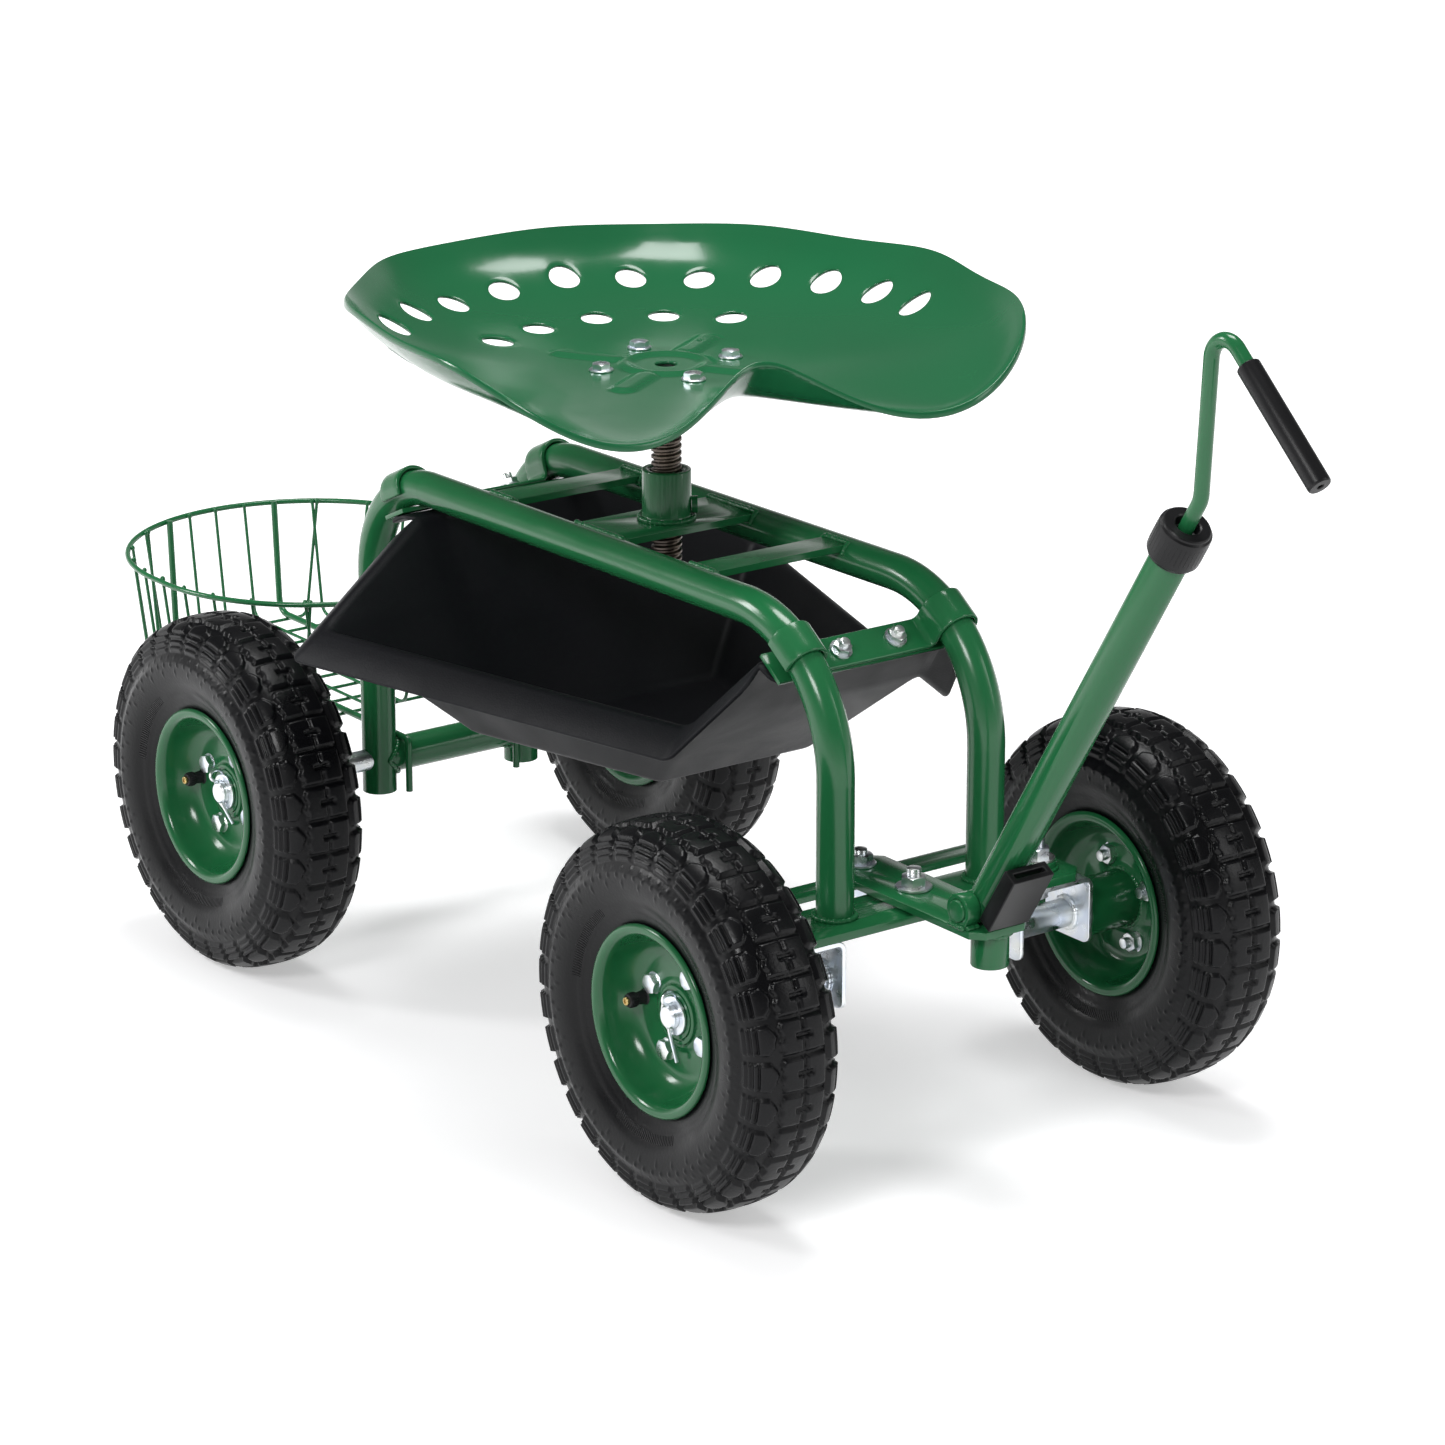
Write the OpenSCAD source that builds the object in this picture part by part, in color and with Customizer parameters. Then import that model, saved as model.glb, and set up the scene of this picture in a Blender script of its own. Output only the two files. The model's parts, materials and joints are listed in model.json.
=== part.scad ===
// Rolling garden cart with a turning tractor seat, tool tray, rear basket and steering handle.
// Millimetres. +X forward (handle end), +Y the cart's left, +Z up, ground at z = 0.

/* [Overall] */
// distance between the front and rear axles
wheelbase = 552; // [500:5:660]
// distance between the left and right wheel centres
track = 374; // [366:2:430]
// outside diameter of the tyres
wheel_d = 260; // [240:2:262]
// width of the tyres at the sidewalls
tyre_w = 76; // [66:1:82]
// height of the seat's middle above the ground
seat_height = 476; // [465:1:510]

/* [Frame] */
// outside diameter of the bent frame tubes
tube_d = 25.4; // [22:0.2:27]
// wall of the frame tubes
tube_wall = 1.8; // [1.2:0.1:3]
// spacing of the two bent tubes, centre to centre
tube_gauge = 126; // [120:1:140]
// height of the tube centreline at the rear of the arch
arch_rear_z = 352; // [345:1:360]
// height of the tube centreline at the front of the arch
arch_front_z = 358.5; // [350:1:366]
// bend radius at the front of the arch
front_bend_r = 98; // [80:1:110]
// bend radius at the rear of the arch
rear_bend_r = 78; // [60:1:90]

/* [Seat] */
// diameter of the threaded seat post over its crests
screw_d = 21.5; // [18:0.5:24]
// thread pitch of the seat post
screw_pitch = 5; // [3:0.5:6]
// thickness of the seat sheet
seat_t = 2.5; // [2:0.1:4]
// angle the seat is turned to the right
seat_turn = 13; // [0:1:45]
// diameter of the round holes in the seat
seat_hole_d = 22; // [16:1:26]

/* [Tray and basket] */
// wall thickness of the plastic tray
tray_t = 3; // [2:0.2:4]
// height of the tray floor
tray_floor_z = 208; // [204:1:216]
// radius of the rounded ends of the basket rim
basket_r = 135; // [115:1:140]
// height of the basket rim
basket_rim_z = 233; // [215:1:260]

/* [Handle] */
// angle of the resting handle above horizontal
handle_angle = 58; // [52:1:64]
// length from the handle pin to the top of the tube
handle_len = 344; // [320:2:400]
// diameter of the sliding handle rod
rod_d = 10; // [8:0.5:12]

/* [Hidden] */

$fn = 48;
green = [0.07, 0.26, 0.13];
dark_plastic = [0.04, 0.04, 0.05];
rubber = [0.05, 0.05, 0.055];
zinc = [0.75, 0.77, 0.8];
gap = 0.05;
lap = 0.2;
swell = 0.1;

body_shift = -20;
wheel_r = wheel_d / 2;
front_x = wheelbase / 2;
rear_x = -wheelbase / 2;
side_y = tube_gauge / 2;
tube_r = tube_d / 2;
leg_front_x = front_x - 3.5;
leg_rear_x = rear_x - 4;
beam_top = 168;
beam_t = 6;
beam_w = 50;
leg_rear_foot = 105;
arch_dx = leg_front_x - leg_rear_x - front_bend_r - rear_bend_r;
arch_tilt = atan2(arch_front_z - arch_rear_z, arch_dx);
function arch_z(x) = arch_rear_z + (x - leg_rear_x - rear_bend_r) * tan(arch_tilt);
tube_path = [[leg_rear_x, leg_rear_foot], [leg_rear_x, arch_z(leg_rear_x)],
  [leg_front_x, arch_z(leg_front_x)], [leg_front_x, beam_top + gap]];
tube_bends = [0, rear_bend_r, front_bend_r, 0];

post_x = -3;
plate_w = 55;
bar_w = 25;
bar_t = 5;
bar_rise = 6;
collar_d = 34.2;
collar_top = 402;
screw_r = screw_d / 2;
screw_bottom = 315;

strap_w = 25;
strap_t = 3;
strap_r = tube_r + 0.2;
strap_flat = -(tube_r + 1.2);
front_strap_a = 35;
rear_strap_a = 25;
front_arc_c = [leg_front_x - front_bend_r, arch_z(leg_front_x - front_bend_r) - front_bend_r];
rear_arc_c = [leg_rear_x + rear_bend_r, arch_rear_z - rear_bend_r];
bolt_y = 22.8;

king_y = 105;
king_r = 6;
knuckle_half = 31.5;
knuckle_t = 3.5;
web_top = beam_top - beam_t - 0.3;
web_t = 4;
spindle_r = 10;
axle_r = 7.95;
hub_in = -48;
hub_out = 8;
axle_end = 15;
plate_z = beam_top + 2.5;
steer_t = 5;
steer_w = 48;
tie_x = front_x - 58;
tie_z = 162;
tie_t = 5;
pin_x = front_x + 76;
pin_z = 187;
pin_r = 7.5;
boss_r = 11.2;
socket_x = front_x + 80.5;
socket_bore = 10.6;
dir_a = [cos(handle_angle), sin(handle_angle)];
dir_b = [sin(handle_angle), -cos(handle_angle)];
rod_r = rod_d / 2;
rod_bend = 374;
rod_in = 60;

rim_half_straight = 10;
basket_x = rear_x - 194;
rim_wire = 4;
thick_wire = 5;
thin_wire = 2.5;
floor_wire_z = wheel_r + tube_r + thick_wire / 2 + 0.1;
thin_y_z = floor_wire_z - thick_wire / 2 - thin_wire / 2 - gap;
thin_x_z = thin_y_z + thin_wire + gap;
hook_y = 47.7;
wire_pitch_x = 29;
wire_pitch_y = 25;
basket_taper = 12;

function unit(v) = v / norm(v);
function turn(p, i) = let (u = unit(p[i] - p[i - 1]), v = unit(p[i + 1] - p[i]))
  atan2(u[0] * v[1] - u[1] * v[0], u * v);
function trim(p, r, i) = r[i] == 0 ? 0 : r[i] * tan(abs(turn(p, i)) / 2);

// moves everything so the bounding box is centred on the origin
module place() { translate([body_shift, 0, 0]) children(); }

// straight round bar or tube between two points of the XZ plane
module seg(p, q, d, di) {
  v = q - p;
  translate([p[0], 0, p[1]]) rotate([0, atan2(v[0], v[1]), 0]) difference() {
    cylinder(h = norm(v), d = d);
    if (di > 0) translate([0, 0, -1]) cylinder(h = norm(v) + 2, d = di);
  }
}

// bar or tube following a path in the XZ plane, with a bend radius at every inner point; the straight
// lengths run a little into the bends, which are a hair thicker so that each joint is one clean step
module bent(p, r, d, di = 0) {
  n = len(p);
  for (i = [0:n - 2]) {
    u = unit(p[i + 1] - p[i]);
    seg(i == 0 ? p[0] : p[i] + u * (trim(p, r, i) - lap),
      i == n - 2 ? p[n - 1] : p[i + 1] - u * (trim(p, r, i + 1) - lap), d, di);
  }
  for (i = [1:n - 2]) {
    s = turn(p, i) > 0 ? 1 : -1;
    u = unit(p[i] - p[i - 1]);
    t = p[i] - u * trim(p, r, i);
    c = t + s * r[i] * [-u[1], u[0]];
    a = atan2(t[1] - c[1], t[0] - c[0]);
    translate([c[0], 0, c[1]]) rotate([90, 0, 0]) rotate([0, 0, s > 0 ? a : a + turn(p, i)])
      rotate_extrude(angle = abs(turn(p, i))) translate([r[i], 0]) difference() {
        circle(d = d + swell);
        if (di > 0) circle(d = di - swell);
      }
  }
}

// hexagon head or nut, across corners 2*r
module hex(r, h) { cylinder(r = r, h = h, $fn = 6); }
module ring(ro, ri, h) { difference() { cylinder(r = ro, h = h); translate([0, 0, -1])
  cylinder(r = ri, h = h + 2); } }

// ---------------- frame ----------------
module frame_tube(side) {
  color(green) place() translate([0, side * side_y, 0]) difference() {
    bent(tube_path, tube_bends, tube_d, tube_d - 2 * tube_wall);
    translate([leg_rear_x, 0, wheel_r]) rotate([90, 0, 0])
      cylinder(r = axle_r + 0.1, h = tube_d + 4, center = true);
  }
}

// the straight top of one tube, a little larger, used to notch the bars
module arch_cutter() {
  for (s = [-1, 1]) translate([0, s * side_y, 0])
    seg([leg_rear_x, arch_z(leg_rear_x)], [leg_front_x, arch_z(leg_front_x)], tube_d + 2 * gap, 0);
}

module flat_bar(x, w) {
  difference() {
    translate([x - w / 2, -side_y + 1, arch_z(x) + bar_rise]) cube([w, 2 * side_y - 2, bar_t]);
    arch_cutter();
  }
}

module seat_plate() {
  color(green) place() difference() {
    flat_bar(post_x, plate_w);
    translate([post_x, 0, 340]) cylinder(r = screw_r + 0.6, h = 60);
  }
}

module seat_collar() {
  z = arch_z(post_x) + bar_rise + bar_t + gap;
  color(green) place() translate([post_x, 0, z]) difference() {
    union() {
      cylinder(d = collar_d, h = collar_top - z);
      cylinder(d1 = collar_d + 5, d2 = collar_d, h = 3);
    }
    translate([0, 0, -1]) cylinder(r = screw_r + gap, h = collar_top - z + 2);
    translate([0, 0, collar_top - z - 2]) cylinder(r1 = screw_r + gap, r2 = screw_r + 2.2, h = 2.1);
  }
}

module collar_ring() {
  color(green) place() translate([post_x, 0, arch_z(post_x) + bar_rise + bar_t + 9.6]) rotate([0, 0, 54])
    translate([collar_d / 2 + 0.3, 0, 0]) rotate([0, 90, 0]) ring(6, 3.2, 4);
}

module cross_bars() {
  color(green) place() { flat_bar(post_x + 119, bar_w); flat_bar(post_x - 119, bar_w); }
}

// local frame on a bend: x across the cart, y outward from the bend, z along the tube
module on_bend(c, r, a) {
  n = [sin(a), cos(a)];
  multmatrix([[0, n[0], n[1], c[0] + n[0] * r], [1, 0, 0, 0], [0, n[1], -n[0], c[1] + n[1] * r],
    [0, 0, 0, 1]])
    children();
}
module on_straps() {
  on_bend(front_arc_c, front_bend_r, front_strap_a) children();
  on_bend(rear_arc_c, rear_bend_r, -rear_strap_a) children();
}

// section of a strap: down beside one tube, over it, down to the flat, and the same on the other side
function over(s, r, n = 24) = [for (k = [0:n])
  let (a = 180 * k / n) [s * (side_y + r * cos(a)), r * sin(a)]];
strap_section = concat([[side_y + strap_r + strap_t, -4]], over(1, strap_r + strap_t),
  [[side_y - strap_r - strap_t, strap_flat + strap_t]],
    [[-side_y + strap_r + strap_t, strap_flat + strap_t]],
  flip_x(over(1, strap_r + strap_t)), [[-side_y - strap_r - strap_t, -4], [-side_y - strap_r, -4]],
    over(-1, strap_r),
  [[-side_y + strap_r, strap_flat], [side_y - strap_r, strap_flat]], flip_x(over(-1, strap_r)),
    [[side_y + strap_r, -4]]);
function flip_x(p) = [for (i = [len(p) - 1:-1:0]) [-p[i][0], p[i][1]]];

module clamp_straps() {
  color(green) place() on_straps() difference() {
    translate([0, 0, -strap_w / 2]) linear_extrude(strap_w) polygon(strap_section);
    for (s = [-1, 1]) translate([s * bolt_y, 0, 0]) rotate([90, 0, 0])
      cylinder(r = 3.6, h = 60, center = true);
  }
}

module clamp_plates() {
  color(green) place() on_straps() difference() {
    translate([-side_y - 16, strap_flat - 0.1 - strap_t, -strap_w / 2])
      cube([2 * side_y + 32, strap_t, strap_w]);
    for (s = [-1, 1]) translate([s * bolt_y, 0, 0]) rotate([90, 0, 0])
      cylinder(r = 3.6, h = 60, center = true);
  }
}

module clamp_bolts() {
  top = strap_flat + strap_t + gap;
  low = strap_flat - 0.25 - strap_t - 1.44 * tray_t - 2 * gap;
  color(zinc) place() on_straps() for (s = [-1, 1]) translate([s * bolt_y, 0, 0]) rotate([-90, 0, 0]) {
    translate([0, 0, low - 6]) cylinder(r = 3.5, h = top + 12 - low);
    translate([0, 0, top]) cylinder(r = 8, h = 1.4);
    translate([0, 0, top + 1.4]) hex(6.6, 5);
    translate([0, 0, low - 4.5]) hex(6.6, 4.5);
  }
}

// ---------------- tray ----------------
floor_f = front_x - 200;
floor_r = front_x - 366;
rim_f = [front_x - 118, 97, 276];
rim_r = [front_x - 429, 189, 284];
lip_f = rim_f + [4, 22, -20];
lip_r = rim_r + [-5, 23, -21];
function strap_point(c, r, a, n, t) = let (v = [sin(a), cos(a)]) [c[0] + v[0] * (r + n) + v[1] * t,
  c[1] + v[1] * (r + n) - v[0] * t];
tray_n = strap_flat - 0.2 - strap_t - 0.72 * tray_t - gap;
top_f0 = strap_point(front_arc_c, front_bend_r, front_strap_a, tray_n, -10.5);
top_f1 = strap_point(front_arc_c, front_bend_r, front_strap_a, tray_n, 11);
top_r0 = strap_point(rear_arc_c, rear_bend_r, -rear_strap_a, tray_n, 11);
top_r1 = strap_point(rear_arc_c, rear_bend_r, -rear_strap_a, tray_n, -11);
tray_top_f = [top_f0[0], 79, top_f0[1]];
tray_top_r = [floor_r - 107, 81, 333];

// flat wall through the given points, about one wall thickness thick
module wall(points) {
  hull() for (p = points) translate(p) cube(tray_t, center = true);
}
function mir(p) = [p[0], -p[1], p[2]];
function at_y(p, y) = [p[0], y, p[1]];

module tray() {
  ff = [floor_f, 64, tray_floor_z];
  fr = [floor_r, 105, tray_floor_z];
  color(dark_plastic) place() difference() {
    union() {
      wall([ff, fr, mir(ff), mir(fr)]);
      wall([ff, mir(ff), rim_f, mir(rim_f)]);
      wall([rim_f, mir(rim_f), tray_top_f, mir(tray_top_f)]);
      wall([fr, mir(fr), rim_r, mir(rim_r), tray_top_r, mir(tray_top_r)]);
      wall([at_y(top_f0, 79), at_y(top_f0, -79), at_y(top_f1, 79), at_y(top_f1, -79)]);
      wall([tray_top_r, mir(tray_top_r), at_y(top_r0, 79), at_y(top_r0, -79)]);
      wall([at_y(top_r0, 79), at_y(top_r0, -79), at_y(top_r1, 79), at_y(top_r1, -79)]);
      for (s = [-1, 1]) scale([1, s, 1]) {
        wall([ff, fr, rim_r, rim_f]);
        wall([rim_f, rim_r, lip_r, lip_f]);
        wall([rim_f, tray_top_f, tray_top_f + [6, 16, -14], lip_f]);
        wall([rim_r, tray_top_r, tray_top_r + [-8, 14, -14], lip_r]);
      }
    }
    on_straps() for (s = [-1, 1]) translate([s * bolt_y, 0, 0]) rotate([90, 0, 0])
      cylinder(r = 4, h = 60, center = true, $fn = 24);
  }
}

// ---------------- rear axle ----------------
module rear_cross_tube() {
  color(green) place() difference() {
    translate([leg_rear_x, 0, wheel_r]) rotate([90, 0, 0]) difference() {
      cylinder(r = tube_r, h = 2 * side_y - 2, center = true);
      cylinder(r = axle_r + 0.1, h = 2 * side_y, center = true);
    }
    for (s = [-1, 1]) translate([leg_rear_x, s * side_y, 60]) cylinder(r = tube_r + gap, h = 120);
  }
}

module cotter(u) {
  translate([0, 0, u]) rotate([0, 90, 0]) translate([0, 0, -14]) {
    cylinder(r = 1.4, h = 28);
    translate([0, 0, -3]) rotate([90, 0, 0]) rotate_extrude() translate([3.6, 0])
      circle(r = 1.2, $fn = 16);
  }
}

module axle_rod(len_half) {
  difference() {
    cylinder(r = axle_r, h = 2 * len_half, center = true);
    for (s = [-1, 1], d = [axle_end - 12.8, axle_end - hub_in + 5.5])
      translate([0, 0, s * (len_half - d)]) rotate([0, 90, 0]) cylinder(r = 1.6, h = 30, center = true);
  }
}

module rear_axle() {
  color(zinc) place() translate([leg_rear_x, 0, wheel_r]) rotate([90, 0, 0])
    axle_rod(track / 2 + axle_end);
}

// moves a wheel part drawn on +Z to its wheel; side is -1 right or 1 left
module at_wheel(side, x) { translate([x, side * track / 2, wheel_r]) rotate([-90 * side, 0, 0])
  children(); }

module rear_retainers() {
  color(zinc) place() for (s = [-1, 1]) at_wheel(s, leg_rear_x) {
    translate([0, 0, hub_out + 0.3]) ring(13, axle_r + gap, 2);
    translate([0, 0, hub_in - 2.3]) ring(13, axle_r + gap, 2);
    cotter(12.8);
    cotter(hub_in - 5.5);
  }
}

// ---------------- wheels ----------------
tyre_h = tyre_w / 2;
// one side of the tyre section as radius and offset from the middle, scaled to the tyre
function tyre_pt(r, u) = [wheel_r - (130 - r) * (wheel_r - 65) / 65, u * tyre_h / 38];
tyre_out = [tyre_pt(130, 0), tyre_pt(129.3, 13), tyre_pt(126.8, 23), tyre_pt(122, 30.5),
  tyre_pt(114, 35.2),
  tyre_pt(104, 38), tyre_pt(94, 38), tyre_pt(85, 35.6), tyre_pt(77, 31.5), [69, 28.2], [64, 26],
    [55, 25.3],
  [52.2, 24]];
tyre_in = [[52.2, 19], [60, 20], [70, 22.5], tyre_pt(82, 28), tyre_pt(94, 31.5), tyre_pt(104, 31.5),
  tyre_pt(113, 28.5), tyre_pt(119, 22), tyre_pt(121.5, 12), tyre_pt(122, 0)];
function flip(p) = [for (i = [len(p) - 1:-1:0]) [p[i][0], -p[i][1]]];
function tail(p) = [for (i = [1:len(p) - 1]) p[i]];
function head(p) = [for (i = [0:len(p) - 2]) p[i]];

module tyre(side, x) {
  color(rubber) place() at_wheel(side, x) rotate_extrude($fn = 96)
    polygon(concat(tyre_out, tyre_in, tail(flip(tyre_in)), head(flip(tyre_out))));
}

bolt_pcd = 62;
bolt_a = 65;
valve_r = 39;
rim_shape = [[63.5, 28.6], [60, 28.9], [56, 28.6], [52.5, 27.3], [50, 24.5], [49.6, 18], [47.2, 10],
  [45.2, 5.5], [42, 3.1],
  [20.2, 3.05], [20.2, 1.05], [44, 1.05], [47, 3.5], [49, 9], [51.6, 16], [51.9, 18], [51.9, 24.6],
    [53, 26.2],
  [62, 26.3], [63.5, 26.8]];
inner_shape = [[63.5, -28.6], [60, -28.9], [56, -28.6], [52.5, -27.3], [50, -24.5], [49.6, -18],
  [47, -8], [45.2, -4],
  [42, -1.1], [20.2, -1.05], [20.2, 0.95], [44, 0.95], [47, -1.5], [49, -8], [51.6, -16], [51.9, -18],
  [51.9, -24.6], [53, -26.2], [62, -26.3], [63.5, -26.8]];

module around_bolts() { for (k = [0:3]) rotate([0, 0, bolt_a + 90 * k]) translate([bolt_pcd / 2, 0, 0])
  children(); }

module rim(side, x) {
  color(green) place() at_wheel(side, x) {
    difference() {
      rotate_extrude($fn = 96) polygon(rim_shape);
      around_bolts() cylinder(r = 4.1, h = 12, center = true);
      rotate([0, 0, 180]) translate([valve_r, 0, 0]) cylinder(r = 4.6, h = 12, center = true);
    }
    difference() {
      rotate_extrude($fn = 96) polygon(inner_shape);
      around_bolts() cylinder(r = 4.1, h = 12, center = true);
    }
  }
}

module hub(side, x) {
  color(green) place() at_wheel(side, x) rotate_extrude()
    polygon([[axle_r + gap, hub_in], [16, hub_in], [16, hub_in + 1.2], [17.2, hub_in + 1.2],
      [17.2, hub_in],
      [20, hub_in], [20, hub_out - 1.5], [18.5, hub_out], [17.2, hub_out], [17.2, hub_out - 1.4],
      [16, hub_out - 1.4], [16, hub_out], [axle_r + gap, hub_out]]);
}

module rim_bolts(side, x) {
  color(zinc) place() at_wheel(side, x) around_bolts() {
    translate([0, 0, -10]) cylinder(r = 4, h = 13.2);
    translate([0, 0, 3.1]) cylinder(r = 7.4, h = 1.2);
    translate([0, 0, 4.3]) hex(7, 5);
    translate([0, 0, -7.2]) hex(7, 6);
  }
}

module valve(side, x) {
  color(rubber) place() at_wheel(side, x) rotate([0, 0, 180]) translate([valve_r, 0, 0]) {
    translate([0, 0, 1.1]) cylinder(r = 4.5, h = 5);
    translate([0, 0, 6.1]) cylinder(r1 = 4.5, r2 = 3.6, h = 5);
    translate([0, 0, 11.1]) cylinder(r = 4.8, h = 7);
  }
}

// ---------------- steering ----------------
module front_beam() {
  c = 9;
  l = king_y + 23;
  w = beam_w / 2;
  color(green) place() translate([front_x, 0, 0]) difference() {
    union() {
      translate([0, 0, beam_top - beam_t]) linear_extrude(beam_t)
        polygon([[-w, -l + c], [-w + c, -l], [w - c, -l], [w, -l + c], [w, l - c], [w - c, l],
          [-w + c, l], [-w, l - c]]);
      for (s = [-1, 1]) translate([0, s * king_y, beam_top - 1]) cylinder(r = 14, h = 7);
    }
    for (s = [-1, 1]) translate([0, s * king_y, 150]) cylinder(r = king_r + gap, h = 40);
    translate([0, 0, 150]) cylinder(r = 5 + gap, h = 40);
  }
}

module kingpins() {
  z = beam_top + 6 + gap;
  color(zinc) place() for (s = [-1, 1]) translate([front_x, s * king_y, 0]) {
    translate([0, 0, 146]) cylinder(r = king_r, h = z + 3 - 146);
    translate([0, 0, z]) cylinder(r = 13, h = 2);
    translate([0, 0, z + 2]) hex(9.5, 7);
    translate([0, 0, web_top - web_t - 2.4]) cylinder(r = 12, h = 2.2);
    translate([0, 0, web_top - web_t - 10.4]) hex(9.5, 8.1);
  }
}

module pivot_bolt() {
  color(zinc) place() translate([front_x, 0, 0]) {
    translate([0, 0, 157]) cylinder(r = 5, h = 31);
    translate([0, 0, beam_top - beam_t - 6.1]) hex(9, 6);
    translate([0, 0, plate_z + steer_t + 0.3]) cylinder(r = 11, h = 2);
    translate([0, 0, plate_z + steer_t + 2.3]) hex(9, 7);
    translate([0, 0, beam_top + gap]) ring(14, 5 + gap, 2.1);
  }
}

module steer_plate() {
  w = steer_w / 2;
  c = 8;
  xr = tie_x - 12;
  xf = socket_x + 15.5;
  color(green) place() difference() {
    union() {
      translate([0, 0, plate_z]) linear_extrude(steer_t)
        polygon([[xr + c, -w], [xf - c, -w], [xf, -w + c], [xf, w - c], [xf - c, w], [xr + c, w],
          [xr, w - c], [xr, -w + c]]);
      translate([pin_x, 0, pin_z]) rotate([0, 90 - handle_angle, 0]) translate([17.5, -12, -3.5])
        cube([3, 24, 49.5]);
    }
    for (x = [tie_x, front_x]) translate([x, 0, 150]) cylinder(r = 5 + gap, h = 40);
  }
}

module pivot_boss() {
  color(green) place() for (s = [-1, 1]) difference() {
    union() {
      translate([pin_x, s * 18.5, pin_z]) rotate([90, 0, 0]) cylinder(r = boss_r, h = 11, center = true);
      translate([pin_x - 8, s * 18.5 - 5.5, plate_z + steer_t + gap]) cube([16, 11, 6]);
    }
    translate([pin_x, 0, pin_z]) rotate([90, 0, 0]) cylinder(r = pin_r + gap, h = 60, center = true);
  }
}

module hitch_socket() {
  h = plate_z - gap - 146;
  color(green) place() translate([socket_x, 0, 146]) ring(tube_r, socket_bore, h);
}

module stop_block() {
  color(dark_plastic) place() translate([pin_x, 0, pin_z]) rotate([0, 90 - handle_angle, 0]) difference() {
    translate([tube_r + 0.3, -17, 4]) cube([12, 34, 48]);
    translate([17.3, -12.2, 0]) cube([3.4, 24.4, 60]);
  }
}

module tie_bolt() {
  color(zinc) place() translate([tie_x, 0, 0]) {
    translate([0, 0, tie_z - 8]) cylinder(r = 5, h = 24);
    translate([0, 0, plate_z + steer_t + gap]) cylinder(r = 10, h = 1.6);
    translate([0, 0, plate_z + steer_t + 1.6]) hex(9, 6);
    translate([0, 0, tie_z + tie_t + 0.2]) ring(11, 5 + gap, plate_z - tie_z - tie_t - 0.4);
    translate([0, 0, tie_z - 7.2]) hex(9, 7);
  }
}

module tie_bar() {
  color(green) place() difference() {
    union() {
      translate([tie_x - 9, -king_y, tie_z]) cube([18, 2 * king_y, tie_t]);
      for (s = [-1, 1]) translate([tie_x, s * king_y, tie_z]) cylinder(r = 9, h = tie_t);
    }
    translate([tie_x, 0, tie_z - 5]) cylinder(r = 5 + gap, h = 20);
    for (s = [-1, 1]) translate([tie_x, s * king_y, tie_z - 5]) cylinder(r = 4 + gap, h = 20);
  }
}

module tie_end_bolts() {
  color(zinc) place() for (s = [-1, 1]) translate([tie_x, s * king_y, 0]) {
    translate([0, 0, 148]) cylinder(r = 4, h = 22);
    translate([0, 0, tie_z + tie_t + gap]) hex(7, 5);
    translate([0, 0, web_top - web_t - 6.2]) hex(7, 6);
  }
}

// bracket that carries the front wheel: an inverted channel with a rearward arm
module knuckle(side) {
  w = beam_w - 4;
  low = 113;
  color(zinc) place() scale([1, side, 1]) difference() {
    union() {
      translate([front_x - w / 2, king_y - knuckle_half, web_top - web_t])
        cube([w, 2 * knuckle_half, web_t]);
      for (s = [-1, 1]) translate([front_x - w / 2,
        king_y + s * (knuckle_half - knuckle_t / 2) - knuckle_t / 2, low])
        cube([w, knuckle_t, web_top - low]);
      translate([tie_x, king_y - 9, web_top - web_t]) cube([58, 18, web_t]);
      translate([tie_x, king_y, web_top - web_t]) cylinder(r = 9, h = web_t);
    }
    translate([front_x, king_y, 140]) cylinder(r = king_r + gap, h = 40);
    translate([tie_x, king_y, 140]) cylinder(r = 4 + gap, h = 40);
    translate([front_x, 0, wheel_r]) rotate([-90, 0, 0]) cylinder(r = spindle_r + gap, h = king_y + 60);
  }
}

module spindle(side) {
  color(zinc) place() scale([1, side, 1]) translate([front_x, 0, wheel_r]) rotate([-90, 0, 0])
    difference() {
    union() {
      translate([0, 0, king_y - knuckle_half - 5]) cylinder(r = spindle_r, h = 2 * knuckle_half + 5);
      translate([0, 0, king_y]) cylinder(r = axle_r, h = track / 2 + axle_end - king_y);
    }
    translate([0, 0, track / 2 + 12.8]) rotate([0, 90, 0]) cylinder(r = 1.6, h = 30, center = true);
  }
}

module retainers(side) {
  color(zinc) place() at_wheel(side, front_x) {
    translate([0, 0, hub_out + 0.3]) ring(13, axle_r + gap, 2);
    translate([0, 0, hub_in - 2.3]) ring(13, axle_r + gap, 2);
    cotter(12.8);
  }
}

// ---------------- handle ----------------
module on_handle() { place() translate([pin_x, 0, pin_z]) rotate([0, 90 - handle_angle, 0]) children(); }

module handle_tube() {
  color(green) on_handle() difference() {
    union() {
      translate([0, 0, 4]) cylinder(r = tube_r, h = handle_len - 12);
      rotate([90, 0, 0]) cylinder(r = 11, h = 2 * tube_r - 1, center = true);
    }
    rotate([90, 0, 0]) cylinder(r = pin_r + gap, h = 60, center = true);
    translate([0, 0, 24]) cylinder(r = tube_r - 2, h = handle_len);
  }
}

module handle_pin() { color(green) on_handle()
  rotate([90, 0, 0]) { cylinder(r = pin_r, h = 51, center = true); } }

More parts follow.
